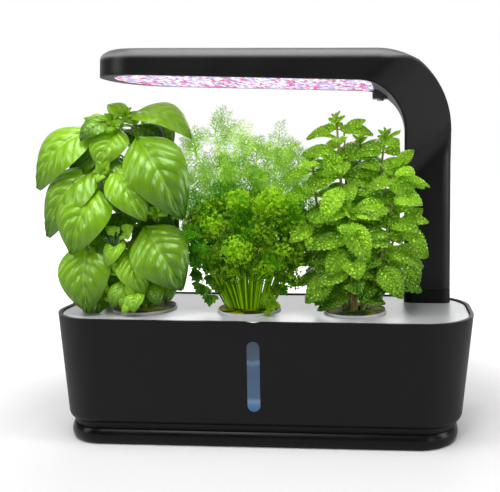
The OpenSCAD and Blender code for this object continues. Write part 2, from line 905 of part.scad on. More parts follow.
module grow_deck() {
    color([0.78, 0.78, 0.8])
        difference() {
            union() {
                rounded_block(cx, cy, deck_under, deck_z)
                    deck_profile();
                difference() {
                    plain_block(cx, cy, skirt_r, deck_under - skirt_h, deck_under + deck_t / 2);
                    plain_block(cx, cy, skirt_r - skirt_t, deck_under - skirt_h - 1, deck_z);
                }
            }
            for (x = pods)
                translate([x, pod_y, deck_under - 1])
                    cylinder(r = basket_r + 0.6, h = deck_t + 2);
            for (p = mast_screw_places)
                translate([p.x, p.y, deck_under - 1])
                    cylinder(r = screw_r + hole_gap, h = deck_t + 2);
            translate([post_cx - 6, socket_y - 2, deck_under - 1])
                cube([12, post_cy - socket_y + 4, deck_t + 2]);
        }
}

module deck_seal() {
    color([0.12, 0.12, 0.12])
        difference() {
            plain_block(cx, cy, deck_r - 0.2, ledge_z + rest_gap, deck_under);
            plain_block(cx, cy, ledge_in + 0.4, ledge_z, deck_under + 1);
        }
}

module mast_collar() {
    color([0.035, 0.035, 0.04])
        difference() {
            upright(post_cx, post_cy, post_x1 - post_x0, arm_back - post_front, arm_r,
                deck_z, deck_z + collar_h);
            upright(post_cx, post_cy, mast_w + 2 * thread_gap, mast_d + 2 * thread_gap, mast_corner,
                deck_z - 1, deck_z + collar_h + 1);
        }
}

// The two pads' places: let into the mast by pad_deep, standing out by reach
module pad_boxes(grow, reach) {
    for (s = [-1, 1])
        translate([post_cx - pad_w / 2 - grow, post_cy + s * mast_d / 2 - (s > 0 ? pad_deep : reach),
            pad_z - grow])
            cube([pad_w + 2 * grow, pad_deep + reach, pad_h + 2 * grow]);
}

module inner_mast() {
    color([0.62, 0.63, 0.65])
        difference() {
            upright(post_cx, post_cy, mast_w, mast_d, mast_corner, deck_z, mast_top);
            upright(post_cx, post_cy, mast_w - 2 * mast_wall, mast_d - 2 * mast_wall, 1.2,
                deck_z + mast_foot, pad_z - 6);
            upright(post_cx, post_cy, mast_w - 2 * mast_wall - 2, mast_d - 2 * mast_wall - 2 * pad_deep,
                1.2, deck_z + mast_foot, mast_top + 1);
            pad_boxes(thread_gap, 1);
            for (p = mast_screw_places)
                translate([p.x, p.y, deck_z - 1])
                    cylinder(r = screw_r + thread_gap, h = mast_foot);
            translate([post_cx - 6, post_cy - 2, deck_z - 1])
                cube([12, 4, mast_foot + 2]);
        }
}

module mast_screws() {
    color([0.6, 0.6, 0.62])
        for (p = mast_screw_places)
            screw_up(p.x, p.y, deck_under, deck_z + mast_foot - 1.4);
}

module friction_pads() {
    color([0.3, 0.3, 0.3])
        pad_boxes(0, mast_gap - pad_gap);
}

// ---- Lamp arm ----

// Side view of the arm in the (x, z) plane
module arm_profile() {
    difference() {
        union() {
            polygon([[hood_x0, hood_under], [in_cx, hood_under - hood_drop], [in_cx, in_cz],
                [bend_cx, in_cz], [bend_cx, hood_top], [hood_x0, hood_top]]);
            intersection() {
                translate([bend_cx, bend_cz])
                    circle(bend_out);
                translate([bend_cx - 1, bend_cz])
                    square([bend_out + 2, bend_out + 1]);
            }
            translate([in_cx, arm_z])
                square([post_x1 - in_cx, bend_cz - arm_z]);
        }
        translate([in_cx, in_cz])
            circle(bend_in);
        translate([in_cx - bend_in, arm_z - 1])
            square([2 * bend_in, in_cz - arm_z + 1]);
        nose_cut();
    }
}

// What the top curves down from at the hood's left end
module nose_cut() {
    difference() {
        translate([hood_x0 - 1, hood_top - nose_drop - 1])
            square([nose_l + 1, nose_drop + 2]);
        translate([hood_x0 + nose_l, hood_top - nose_r])
            circle(nose_r);
    }
}

// The arm as it is seen from above: round left end, with rounded upper edges
module hood_envelope() {
    for (s = [-1, 1])
        translate([hood_x0 + hood_r, hood_cy + s * hood_ty, 0])
            rotate_extrude()
                edge_profile(hood_r);
    rotate([90, 0, 90])
        translate([hood_cy, 0, hood_x0 + hood_r])
            linear_extrude(bend_cx - hood_x0 - hood_r)
                for (m = [0, 1])
                    mirror([m, 0])
                        edge_profile(hood_r + hood_ty);
    rotate([90, 0, 0])
        translate([hood_x0 + hood_r, 0, -hood_cy])
            linear_extrude(2 * hood_ty, center = true)
                mirror([1, 0])
                    edge_profile(hood_r);
    translate([bend_cx, arm_back, bend_cz])
        rotate([90, 0, 0])
            rotate_extrude()
                ring_profile();
    translate([bend_cx - 1, hood_front, arm_z])
        cube([bend_out + 1, arm_back - hood_front, bend_cz - arm_z]);
}

// Half section of the hood with its rounded upper edge
module edge_profile(r) {
    translate([0, arm_z])
        square([r, hood_top - arm_r - arm_z]);
    translate([0, arm_z])
        square([r - arm_r, hood_top - arm_z]);
    translate([r - arm_r, hood_top - arm_r])
        circle(arm_r);
}

// Radius from the bend's centre against depth from the back face
module ring_profile() {
    depth = arm_back - hood_front;
    square([bend_out - arm_r, depth]);
    translate([0, arm_r])
        square([bend_out, depth - 2 * arm_r]);
    for (y = [arm_r, depth - arm_r])
        translate([bend_out - arm_r, y])
            circle(arm_r);
}

// What the front face sweeps back from, drawn as depth (y) against the way down the bend's
// diagonal and extruded across it
module sweep_cut() {
    translate([in_cx, 0, in_cz])
        rotate([0, -135, 0])
            rotate([0, 0, 90])
                linear_extrude(500, center = true)
                    translate([hood_front, sweep_start])
                        sweep_outline(post_front - hood_front);
}

// Depth against the way down the diagonal: a straight slant with a rounded start and end
module sweep_outline(run) {
    len1 = sweep_r1 * tan(sweep_a / 2);
    len2 = sweep_r2 * tan(sweep_a / 2);
    end = run / tan(sweep_a);
    start_arc = [for (i = [0:arc_steps])
        [sweep_r1 * (1 - cos(i * sweep_a / arc_steps)), -len1 + sweep_r1 * sin(i * sweep_a / arc_steps)]];
    end_arc = [for (i = [arc_steps:-1:0])
        [run - sweep_r2 * (1 - cos(i * sweep_a / arc_steps)),
            end + len2 - sweep_r2 * sin(i * sweep_a / arc_steps)]];
    polygon(concat([[-20, -len1]], start_arc, end_arc, [[run, end + 300], [-20, end + 300]]));
}

module arm_shell() {
    color([0.035, 0.035, 0.04])
        difference() {
            intersection() {
                translate([0, arm_back, 0])
                    rotate([90, 0, 0])
                        linear_extrude(arm_back - hood_front)
                            arm_profile();
                hood_envelope();
            }
            sweep_cut();
            post_corner_cuts();
            hood_hollow();
            // duct round the bend
            difference() {
                intersection() {
                    translate([bend_cx, arm_back - arm_wall, bend_cz])
                        rotate([90, 0, 0])
                            cylinder(r = bend_out - arm_wall - duct_in, h = mast_d + 2 * mast_gap);
                    translate([lens_x1 - 12, 0, in_cz])
                        cube([200, 100, 100]);
                }
                translate([in_cx, 0, in_cz])
                    rotate([-90, 0, 0])
                        cylinder(r = bend_in + arm_wall, h = 100);
            }
            // bore for the mast
            upright(post_cx, post_cy, mast_w + 2 * mast_gap, mast_d + 2 * mast_gap, mast_corner,
                arm_z - 1, bend_cz + 2);
            translate([latch_x, latch_y, latch_z])
                cylinder(r = screw_r + thread_gap, h = latch_screw_l + 1);
            translate([button_x, button_y, ceiling - 1])
                cylinder(r = button_r + button_gap, h = 10);
        }
    color([0.035, 0.035, 0.04])
        for (p = hood_boss_places)
            difference() {
                translate([p.x, p.y, spreader_top])
                    cylinder(r = boss_r, h = ceiling - spreader_top + eps);
                translate([p.x, p.y, spreader_top - 1])
                    cylinder(r = screw_r + thread_gap, h = 8);
            }
}

// Round corners on the post, each as far up as its face runs straight
module post_corner_cuts() {
    corner_cut(post_x0, post_front, -1, -1, in_cz - bend_in, true);
    corner_cut(post_x1, post_front, 1, -1, bend_cz, true);
    corner_cut(post_x0, arm_back, -1, 1, in_cz, true);
    corner_cut(post_x1, arm_back, 1, 1, bend_cz, false);
}

// Leaves a corner of radius arm_r; sx and sy point out of the post
module corner_cut(x, y, sx, sy, z1, fades) {
    slab = 2 * corner_run;
    translate([x, y, arm_z - 1])
        mirror([sx < 0 ? 1 : 0, 0, 0])
            mirror([0, sy < 0 ? 1 : 0, 0])
                difference() {
                    translate([-arm_r, -arm_r, 0])
                        cube([arm_r + 1, arm_r + 1, z1 - arm_z + 1]);
                    translate([-arm_r, -arm_r, -1])
                        cylinder(r = arm_r, h = z1 - arm_z + 3);
                    // slants outwards, so that the cut runs out gently at its top
                    if (fades)
                        translate([0, 0, z1 - arm_z + 1])
                            rotate([0, 0, 45])
                                rotate([0, atan(arm_r * (sqrt(2) - 1) / corner_run), 0])
                                    translate([-slab, -slab, -slab])
                                        cube([slab, 2 * slab, 2 * slab]);
                }
}

module hood_hollow() {
    hollow_block(hood_r - lens_lip, hood_top - shoulder_h);
    hollow_block(hood_r - lens_lip - shoulder_w, ceiling);
}

// The lens's outline in the hood, upwards from under the bend to z1
module hollow_block(r, z1) {
    z0 = in_cz;
    for (s = [-1, 1])
        translate([lens_cx, hood_cy + s * hood_ty, z0])
            cylinder(r = r, h = z1 - z0);
    translate([lens_cx, hood_cy - hood_ty - r, z0])
        cube([lens_x1 - lens_cx, 2 * (hood_ty + r), z1 - z0]);
    translate([lens_cx - r, hood_cy - hood_ty, z0])
        cube([r, 2 * hood_ty, z1 - z0]);
}

// Outline of the lens in plan
module lens_outline(grow) {
    r = hood_r - lens_lip - lens_gap + grow;
    for (s = [-1, 1])
        translate([lens_cx, hood_cy + s * hood_ty])
            circle(r);
    translate([lens_cx, hood_cy - hood_ty - r])
        square([lens_x1 - lens_gap - lens_cx, 2 * (hood_ty + r)]);
    translate([lens_cx - r, hood_cy - hood_ty])
        square([hood_r, 2 * hood_ty]);
}

module led_lens() {
    color([0.93, 0.88, 0.96])
        intersection() {
            linear_extrude(hood_top)
                lens_outline(0);
            translate([hood_x0, -tub_depth, hood_under])
                rotate([0, slope, 0])
                    translate([-20, 0, 0])
                        cube([300, 2 * tub_depth, lens_t]);
        }
}

module led_board() {
    color([0.9, 0.9, 0.88])
        difference() {
            board_plate(led_board_z, led_board_t);
            hood_screw_holes();
        }
}

module heat_spreader() {
    color([0.7, 0.71, 0.72])
        difference() {
            board_plate(spreader_z, spreader_t);
            hood_screw_holes();
        }
}

// A plate with the lens's round corners
module board_plate(z, t) {
    translate([0, 0, z])
        linear_extrude(t)
            intersection() {
                translate([board_x0, board_y0])
                    square([board_x1 - board_x0, board_y1 - board_y0]);
                lens_outline(-board_gap);
            }
}

module hood_screw_holes() {
    for (p = hood_boss_places)
        translate([p.x, p.y, led_board_z - 1])
            cylinder(r = screw_r + hole_gap, h = spreader_top - led_board_z + 2);
}

module hood_screws() {
    color([0.6, 0.6, 0.62])
        for (p = hood_boss_places)
            screw_up(p.x, p.y, led_board_z, spreader_top + 6);
}

// Which colour a diode has: 0 white, 1 red, 2 blue
function led_kind(i, j) = (i + 2 * j) % 3 == 1 ? 1 : ((i * 3 + j * 5) % 11 == 0 ? 2 : 0);

module leds(kind) {
    x0 = board_x0 + led_in_x;
    y0 = board_y0 + led_in_y;
    dx = (board_x1 - led_in_x - x0) / (led_cols - 1);
    dy = (board_y1 - led_in_y - y0) / (led_rows - 1);
    for (i = [0:led_cols - 1], j = [0:led_rows - 1])
        if (led_kind(i, j) == kind && !near_boss(x0 + i * dx, y0 + j * dy))
            translate([x0 + i * dx - led_size / 2, y0 + j * dy - led_size / 2, led_board_z - led_h])
                cube([led_size, led_size, led_h]);
}

function near_boss(x, y) = min([for (p = hood_boss_places) norm([x - p.x, y - p.y])]) < head_r + led_size;

module leds_white() {
    color([1, 0.98, 0.95])
        leds(0);
}

module leds_red() {
    color([0.95, 0.15, 0.25])
        leds(1);
}

module leds_blue() {
    color([0.3, 0.35, 0.95])
        leds(2);
}

module lens_latch() {
    color([0.03, 0.03, 0.03])
        difference() {
            intersection() {
                translate([latch_x - latch_w / 2, latch_y - latch_d / 2, latch_z])
                    cube([latch_w, latch_d, latch_h]);
                translate([in_cx, latch_y - latch_d / 2 - 1, in_cz])
                    rotate([-90, 0, 0])
                        cylinder(r = bend_in - thread_gap, h = latch_d + 2);
            }
            translate([latch_x, latch_y, latch_z - 1])
                cylinder(r = screw_r + hole_gap, h = latch_h + 2);
        }
}

module latch_screw() {
    color([0.75, 0.75, 0.77])
        screw_up(latch_x, latch_y, latch_z, latch_z + latch_screw_l);
}

// ---- Power button ----

module power_button() {
    color([0.08, 0.08, 0.09]) {
        translate([button_x, button_y, ceiling - button_flange_t])
            cylinder(r = button_r, h = hood_top - ceiling + button_proud + button_flange_t);
        translate([button_x, button_y, flange_z])
            cylinder(r = button_r + button_flange, h = button_flange_t);
        translate([button_x, button_y, stem_z])
            cylinder(r = stem_r, h = ceiling - stem_z);
    }
}

module button_switch() {
    color([0.2, 0.2, 0.21]) {
        translate([button_x - 6, button_y - 6, spreader_top])
            cube([12, 12, switch_h - 1]);
        translate([button_x, button_y, spreader_top + switch_h - 1 - eps])
            cylinder(r = 2.5, h = 1);
    }
}

// A flat lead from the plug, up inside the mast and round the bend to the board
module lamp_ribbon() {
    t = 0.6;
    w = 8;
    x = post_cx;
    y = post_cy;
    rise = bend_cz + 16;
    color([0.85, 0.85, 0.82]) {
        translate([x - w / 2, y - t / 2, deck_z + mast_foot + 2])
            cube([w, t, rise - deck_z - mast_foot - 2]);
        translate([board_x1 - 4, y - t / 2, spreader_top + 0.6])
            cube([lens_x1 - board_x1 + 8, t, ribbon_h]);
        translate([lens_x1, y - t / 2, 0])
            ribbon_bend(x, rise, w, t);
        translate([board_x1 - 4, board_y1 - 3, spreader_top])
            cube([3, y - board_y1 + 3.3, 4]);
    }
}

// The slanting run between the mast and the hood
module ribbon_bend(x, rise, w, t) {
    rotate([90, 0, 0])
        translate([0, 0, -t])
            linear_extrude(t)
                polygon([[0, spreader_top + 0.6], [x - lens_x1 - w / 2, rise - 4],
                    [x - lens_x1 + w / 2, rise - 4], [x - lens_x1 + w / 2, rise + 2],
                    [8, spreader_top + 0.6 + ribbon_h], [0, spreader_top + 0.6 + ribbon_h]]);
}

// ---- Pods ----

module basket(x) {
    color([0.82, 0.81, 0.86])
        translate([x, pod_y, 0])
            difference() {
                union() {
                    translate([0, 0, collar_z])
                        cylinder(r = collar_r, h = collar_t);
                    translate([0, 0, basket_z])
                        cylinder(r1 = basket_foot_r, r2 = basket_r, h = basket_h + seat_gap + eps);
                }
                translate([0, 0, basket_z + basket_wall])
                    cylinder(r1 = basket_foot_r - basket_wall, r2 = basket_r - basket_wall,
                        h = basket_h + seat_gap + collar_t);
                for (i = [0:basket_slots - 1])
                    rotate([0, 0, i * 360 / basket_slots])
                        translate([basket_foot_r - 4, -1.5, basket_z + 6])
                            cube([12, 3, basket_h - 16]);
                cylinder(r = 4, h = basket_z + 5);
            }
}

module sponge(x) {
    slack = basket_wall + 0.25;
    color([0.2, 0.15, 0.11])
        translate([x, pod_y, basket_z + basket_wall])
            cylinder(r1 = basket_foot_r - slack, r2 = basket_r - slack - 0.2,
                h = basket_h + seat_gap - basket_wall - 1);
}

module label(x) {
    color([0.62, 0.68, 0.2])
        translate([x, pod_y, label_z])
            difference() {
                cylinder(r = label_r, h = label_t);
                translate([0, 0, -1])
                    cylinder(r = label_hole_r, h = label_t + 2);
            }
}

module basket_left() { basket(pods[0]); }
module basket_middle() { basket(pods[1]); }
module basket_right() { basket(pods[2]); }
module sponge_left() { sponge(pods[0]); }
module sponge_middle() { sponge(pods[1]); }
module sponge_right() { sponge(pods[2]); }
module label_left() { label(pods[0]); }
module label_middle() { label(pods[1]); }
module label_right() { label(pods[2]); }

// ---- Plants: plain solids with the size and place of the foliage ----

// A ball of foliage at height h above the deck
module puff(dx, dy, h, r) {
    translate([dx * growth, pod_y + dy * growth, deck_z + h * growth])
        sphere(r * growth);
}

// A stem up to height h above the deck
module stem(dx, dy, r, h) {
    translate([dx * growth, pod_y + dy * growth, sponge_top])
        cylinder(r = r * growth, h = deck_z + h * growth - sponge_top);
}

// A cupped leaf from base to tip, both given from the pod's centre on the deck's top
module leaf(base, tip, w) {
    run = tip - base;
    len = norm(run);
    bow = 0.18 * len;
    r = (len * len / 4 + bow * bow) / (2 * bow);
    edge_r = (len * len + w * w) / (4 * w);
    translate([0, pod_y, deck_z] + [base.x, base.y, base.z] * growth)
        rotate([0, acos(run.z / len), atan2(run.y, run.x)])
            scale(growth)
                intersection() {
                    translate([r - bow, 0, len / 2])
                        difference() {
                            sphere(r);
                            sphere(r - leaf_t);
                        }
                    rotate([90, 0, 90])
                        linear_extrude(2 * len, center = true)
                            intersection_for(s = [-1, 1])
                                translate([s * (edge_r - w / 2), len / 2])
                                    circle(edge_r);
                }
}

module basil_plant() {
    color([0.25, 0.5, 0.1])
        translate([pods[0], 0, 0]) {
            stem(0, 0, 6, 47);
            puff(-4, 2, 33, 25);
            puff(-16, 3, 66, 26);
            puff(-22, 4, 100, 27);
            puff(-6, 4, 126, 24);
            puff(-34, 4, 132, 16);
            puff(-8, 5, 147, 13);
            for (l = basil_leaves)
                leaf(l[0], l[1], l[2]);
        }
}

module dill_shape(grow) {
    translate([pods[1], 0, 0]) {
        translate([0, pod_y + 5 * growth, sponge_top - grow])
            cylinder(r = 3 * growth + grow, h = 110 * growth);
        puff(0, 10, 115, 34 + grow);
        puff(-16, 10, 133, 26 + grow);
        puff(10, 8, 127, 24 + grow);
    }
}

module dill_plant() {
    color([0.3, 0.55, 0.2])
        dill_shape(0);
}

module parsley_plant() {
    color([0.3, 0.6, 0.12])
        difference() {
            translate([pods[1], 0, 0]) {
                stem(0, -3, 5, 37);
                puff(-2, -6, 55, 34);
                puff(-18, -8, 35, 22);
                puff(14, -8, 37, 20);
                puff(0, -4, 20, 15);
            }
            dill_shape(0.4);
        }
}

module mint_plant() {
    color([0.3, 0.6, 0.15])
        translate([pods[2], 0, 0]) {
            stem(0, 0, 5, 47);
            puff(-10, -2, 34, 19);
            puff(14, -4, 34, 18);
            puff(-2, -6, 60, 25);
            puff(22, -2, 50, 20);
            puff(-22, 4, 62, 18);
            puff(22, 0, 76, 23);
            puff(-12, -4, 90, 22);
            puff(8, 2, 100, 22);
            puff(24, -4, 108, 16);
            puff(-30, -4, 106, 13);
            puff(-10, 8, 116, 17);
            puff(-14, -4, 134, 13);
            puff(5, 5, 128, 13);
            puff(22, 0, 130, 11);
            for (l = mint_leaves)
                leaf(l[0], l[1], l[2]);
        }
}

base_plinth();
bottom_cover();
rubber_feet();
base_screws();
tub();
sight_window();
window_gasket();
bay_lid();
lid_screws();
contact_socket();
power_inlet();
control_board();
board_screws();
pump_body();
pump_cap();
pump_shaft();
pump_impeller();
pump_filter();
pump_tube();
pump_feet();
pump_lead();
wire_grommet();
grow_deck();
deck_seal();
mast_collar();
inner_mast();
mast_screws();
friction_pads();
contact_plug();
arm_shell();
led_lens();
led_board();
leds_white();
leds_red();
leds_blue();
heat_spreader();
hood_screws();
lens_latch();
latch_screw();
button_switch();
power_button();
lamp_ribbon();
basket_left();
basket_middle();
basket_right();
sponge_left();
sponge_middle();
sponge_right();
label_left();
label_middle();
label_right();
basil_plant();
parsley_plant();
dill_plant();
mint_plant();
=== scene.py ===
"""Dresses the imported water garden: materials for its CAD nodes, and the four herbs as leaf meshes."""

import math
import random

import bpy
from mathutils import Matrix, Vector


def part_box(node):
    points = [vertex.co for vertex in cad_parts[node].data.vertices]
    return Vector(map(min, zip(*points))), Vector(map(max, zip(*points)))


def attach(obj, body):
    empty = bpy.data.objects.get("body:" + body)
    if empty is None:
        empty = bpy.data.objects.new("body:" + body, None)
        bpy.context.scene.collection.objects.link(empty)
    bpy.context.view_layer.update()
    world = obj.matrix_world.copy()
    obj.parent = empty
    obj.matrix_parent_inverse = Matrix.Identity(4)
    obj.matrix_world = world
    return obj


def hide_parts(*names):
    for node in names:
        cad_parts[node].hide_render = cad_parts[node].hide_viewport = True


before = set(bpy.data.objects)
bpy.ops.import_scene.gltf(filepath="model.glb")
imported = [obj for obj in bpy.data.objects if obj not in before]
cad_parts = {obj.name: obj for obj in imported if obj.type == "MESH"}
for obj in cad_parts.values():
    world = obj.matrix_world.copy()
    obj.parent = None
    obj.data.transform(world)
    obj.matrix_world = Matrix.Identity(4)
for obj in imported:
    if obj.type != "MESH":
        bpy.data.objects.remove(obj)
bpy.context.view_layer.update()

MM = 0.001
TO_VIEWER = Vector((0.0, -1.0, 0.0))
UP = Vector((0.0, 0.0, 1.0))
X_AXIS, Z_AXIS = 0, 2
GOLDEN_TURN = 2.4  # radians from one leaf to the next round a stem
WHITE = (1, 1, 1, 1)


# ---- Small helpers ----


def add_object(name, data):
    thing = bpy.data.objects.new(name, data)
    bpy.context.scene.collection.objects.link(thing)
    return thing


def clamp(value):
    return min(1.0, max(0.0, value))


def scaled(colour, factor):
    return tuple(c * factor for c in colour)


def new_material(name):
    material = bpy.data.materials.new(name)
    material.use_nodes = True
    return material, material.node_tree.nodes, material.node_tree.links


def plug(links, value, socket):
    """Sets a socket to a number or a colour, or links another node's output to it."""
    if isinstance(value, (int, float, tuple)):
        socket.default_value = value
    else:
        links.new(value, socket)


def set_inputs(links, node, **values):
    """Plugs a node's inputs by name, an underscore standing for each space."""
    for name, value in values.items():
        plug(links, value, node.inputs[name.replace("_", " ")])


def calculate(nodes, links, operation, *values):
    node = nodes.new("ShaderNodeMath")
    node.operation = operation
    for socket, value in zip(node.inputs, values):
        plug(links, value, socket)
    return node.outputs[0]


def object_place(nodes):
    """The shaded point's place in its object's own frame."""
    return nodes.new("ShaderNodeTexCoord").outputs["Object"]


def split_axes(nodes, links, vector):
    node = nodes.new("ShaderNodeSeparateXYZ")
    links.new(vector, node.inputs[0])
    return node.outputs


def noise(nodes, links, scale, detail=3.0, stretch=(1, 1, 1)):
    """Noise with about scale cells to the metre, finer along an axis whose stretch is above 1."""
    mapping = nodes.new("ShaderNodeMapping")
    set_inputs(links, mapping, Scale=stretch, Vector=object_place(nodes))
    texture = nodes.new("ShaderNodeTexNoise")
    set_inputs(links, texture, Scale=scale, Detail=detail, Vector=mapping.outputs[0])
    return texture.outputs["Fac"]


def ramp(nodes, links, value, stops):
    """A colour by value, from stops of (place, colour)."""
    node = nodes.new("ShaderNodeValToRGB")
    elements = node.color_ramp.elements
    while len(elements) < len(stops):
        elements.new(0.5)
    for element, (place, colour) in zip(elements, stops):
        element.position = place
        element.color = (*colour, 1)
    links.new(value, node.inputs[0])
    return node.outputs["Color"]


def bump(nodes, links, shader, height, strength, distance):
    node = nodes.new("ShaderNodeBump")
    set_inputs(links, node, Strength=strength, Distance=distance, Height=height)
    links.new(node.outputs[0], shader.inputs["Normal"])
    return node


def map_range(nodes, links, value, low, high, new_low=0.0, new_high=1.0):
    """Turns low to high into new_low to new_high, and stops at both."""
    node = nodes.new("ShaderNodeMapRange")
    set_inputs(links, node, Value=value, From_Min=low, From_Max=high, To_Min=new_low, To_Max=new_high)
    return node.outputs["Result"]


def blend(nodes, links, factor, first, second, way="MIX"):
    """The second colour laid over the first by factor."""
    node = nodes.new("ShaderNodeMix")
    node.data_type = "RGBA"
    node.blend_type = way
    set_inputs(links, node, Factor=factor, A=first, B=second)
    return node.outputs["Result"]


def mix_shaders(nodes, links, share, first, second):
    """The second shader laid over the first by share."""
    node = nodes.new("ShaderNodeMixShader")
    for socket, value in zip(node.inputs, (share, first, second)):
        plug(links, value, socket)
    return node.outputs[0]


def let_light_through(nodes, links, colour, share):
    """Mixes the material's own shader with light that comes through it in colour."""
    through = nodes.new("ShaderNodeBsdfTranslucent")
    links.new(colour, through.inputs["Color"])
    both = mix_shaders(nodes, links, share, nodes["Principled BSDF"].outputs[0], through.outputs[0])
    links.new(both, nodes["Material Output"].inputs["Surface"])


# ---- Camera, stage and lights ----


def make_camera():
    """The photograph's viewpoint: level, a little right of the middle, the lens shifted to the object."""
    place = Vector((0.10157, -0.54243, 0.21296))
    yaw, roll, rise = -0.042, 0.005, 0.001
    focal_px, centre_px, image_px = 684.0, (368.9, 156.9), (500, 492)
    forward = Vector((math.sin(yaw), math.cos(yaw), rise)).normalized()
    level = Vector((math.cos(yaw), -math.sin(yaw), 0.0))
    upright = level.cross(forward)
    right = math.cos(roll) * level + math.sin(roll) * upright
    up = -math.sin(roll) * level + math.cos(roll) * upright
    data = bpy.data.cameras.new("camera")
    data.sensor_width = 36.0
    data.lens = focal_px / image_px[0] * data.sensor_width
    data.shift_x = (image_px[0] / 2 - centre_px[0]) / image_px[0]
    data.shift_y = (centre_px[1] - image_px[1] / 2) / image_px[0]
    data.clip_start = 0.01
    camera = add_object("camera", data)
    camera.matrix_world = Matrix((
        (right.x, up.x, -forward.x, place.x),
        (right.y, up.y, -forward.y, place.y),
        (right.z, up.z, -forward.z, place.z),
        (0, 0, 0, 1),
    ))
    bpy.context.scene.camera = camera
    bpy.context.scene.view_settings.view_transform = "Standard"


def make_world():
    """Plain white to the camera and a soft even light on everything. Shiny surfaces see a white sweep
    behind the object and a dim room in front of it."""
    even_light, room, sweep = 0.22, 0.1, 0.75
    sweep_starts, sweep_full = 0.1, 0.8
    world = bpy.data.worlds.new("studio")
    bpy.context.scene.world = world
    world.use_nodes = True
    nodes, links = world.node_tree.nodes, world.node_tree.links
    nodes.clear()

    def background(strength):
        node = nodes.new("ShaderNodeBackground")
        set_inputs(links, node, Color=WHITE, Strength=strength)
        return node.outputs[0]

    heading = split_axes(nodes, links, nodes.new("ShaderNodeTexCoord").outputs["Generated"])
    reflected = map_range(nodes, links, heading["Y"], sweep_starts, sweep_full, room, sweep)
    ray = nodes.new("ShaderNodeLightPath").outputs
    lit = mix_shaders(nodes, links, ray["Is Glossy Ray"], background(even_light), background(reflected))
    seen = mix_shaders(nodes, links, ray["Is Camera Ray"], lit, background(1.0))
    links.new(seen, nodes.new("ShaderNodeOutputWorld").inputs["Surface"])


def make_floor():
    """A pale floor, whiter to the camera away from the object, where the lights no longer reach."""
    half, grey = 6.0, 0.52
    near, far, glow_near, glow_far = 0.2, 0.7, 0.04, 1.0
    mesh = bpy.data.meshes.new("floor")
    corners = [(-half, -half, 0), (half, -half, 0), (half, half, 0), (-half, half, 0)]
    mesh.from_pydata(corners, [], [(0, 1, 2, 3)])
    floor = add_object("floor", mesh)
    material, nodes, links = new_material("pale_floor")
    shader = nodes["Principled BSDF"]
    set_inputs(links, shader, Base_Color=(grey, grey, grey, 1), Roughness=0.6, Specular_IOR_Level=0.2)
    away = nodes.new("ShaderNodeVectorMath")
    away.operation = "LENGTH"
    links.new(object_place(nodes), away.inputs[0])
    whiteness = map_range(nodes, links, away.outputs["Value"], near, far, glow_near, glow_far)
    seen = nodes.new("ShaderNodeLightPath").outputs["Is Camera Ray"]
    glow = nodes.new("ShaderNodeEmission")
    set_inputs(links, glow, Color=WHITE, Strength=calculate(nodes, links, "MULTIPLY", seen, whiteness))
    add = nodes.new("ShaderNodeAddShader")
    links.new(shader.outputs[0], add.inputs[0])
    links.new(glow.outputs[0], add.inputs[1])
    links.new(add.outputs[0], nodes["Material Output"].inputs["Surface"])
    mesh.materials.append(material)


def softbox(name, place, target, size, power):
    """A rectangular light that shines from place towards target, power in watts."""
    data = bpy.data.lights.new(name, "AREA")
    data.shape = "RECTANGLE"
    data.size, data.size_y = size
    data.energy = power
    lamp = add_object(name, data)
    lamp.location = place
    aim = Vector(target) - Vector(place)
    lamp.rotation_euler = aim.to_track_quat("-Z", "Y").to_euler()


def make_lights():
    middle, post = (0.0, 0.0, 0.15), (0.14, 0, 0.18)
    softbox("top_box", (-0.1, -0.3, 1.4), middle, (1.2, 0.7), 26)
    softbox("left_box", (-1.3, -0.6, 0.7), middle, (0.35, 1.2), 6)
    softbox("right_box", (1.4, -0.25, 0.5), middle, (0.35, 1.2), 11)
    softbox("right_strip", (0.95, -1.05, 0.25), post, (0.1, 0.9), 3)
    softbox("front_box", (-0.5, -1.4, 1.3), middle, (0.6, 0.6), 11)
    softbox("back_box", (0.0, 1.4, 0.9), middle, (1.6, 0.8), 10)


# ---- Materials of the CAD nodes ----


def moulded(name, colour, roughness, grain=2600.0, depth=0.00003, shade=0.12, gloss=0.5, edge=0.0,
            painted_top_highlight=None):
    """Moulded plastic: a fine even grain, slightly mottled in shade and gloss, its edges softened by edge.
    painted_top_highlight, which needs an edge, holds the greys of a painted highlight laid over the softened
    edges that face up, in place of the light from above: the first on slopes, the second on top."""
    material, nodes, links = new_material(name)
    shader = nodes["Principled BSDF"]
    uneven = 0.05
    mottle = noise(nodes, links, 22.0, detail=4.0)
    tone = ramp(nodes, links, mottle, [(0.3, scaled(colour, 1 - shade)), (0.7, scaled(colour, 1 + shade))])
    if edge:
        bevel = nodes.new("ShaderNodeBevel")
        bevel.inputs["Radius"].default_value = edge
    # painted highlight: the softened edges that face up are laid over with paler greys
    if painted_top_highlight:
        facing = split_axes(nodes, links, bevel.outputs[0])["Z"]
        slope, top = ((grey, grey, grey) for grey in painted_top_highlight)
        greys = ramp(nodes, links, facing, [(0.25, slope), (0.7, top)])
        tone = blend(nodes, links, map_range(nodes, links, facing, 0.03, 0.11), tone, greys)
    sheen = map_range(nodes, links, mottle, 0.3, 0.7, roughness - uneven, roughness + uneven)
    set_inputs(links, shader, Base_Color=tone, Roughness=sheen, Specular_IOR_Level=gloss)
    soft = bump(nodes, links, shader, noise(nodes, links, grain, detail=2.0), strength=0.25, distance=depth)
    if edge:
        links.new(bevel.outputs[0], soft.inputs["Normal"])
    return material


def metal(name, colour, roughness, stretch=(1, 1, 1)):
    material, nodes, links = new_material(name)
    uneven = 0.06
    lines = noise(nodes, links, 900.0, detail=2.0, stretch=stretch)
    tone = ramp(nodes, links, lines, [(0.35, scaled(colour, 0.9)), (0.65, colour)])
    sheen = map_range(nodes, links, lines, 0.3, 0.7, roughness - uneven, roughness + uneven)
    set_inputs(links, nodes["Principled BSDF"], Metallic=1.0, Base_Color=tone, Roughness=sheen)
    return material


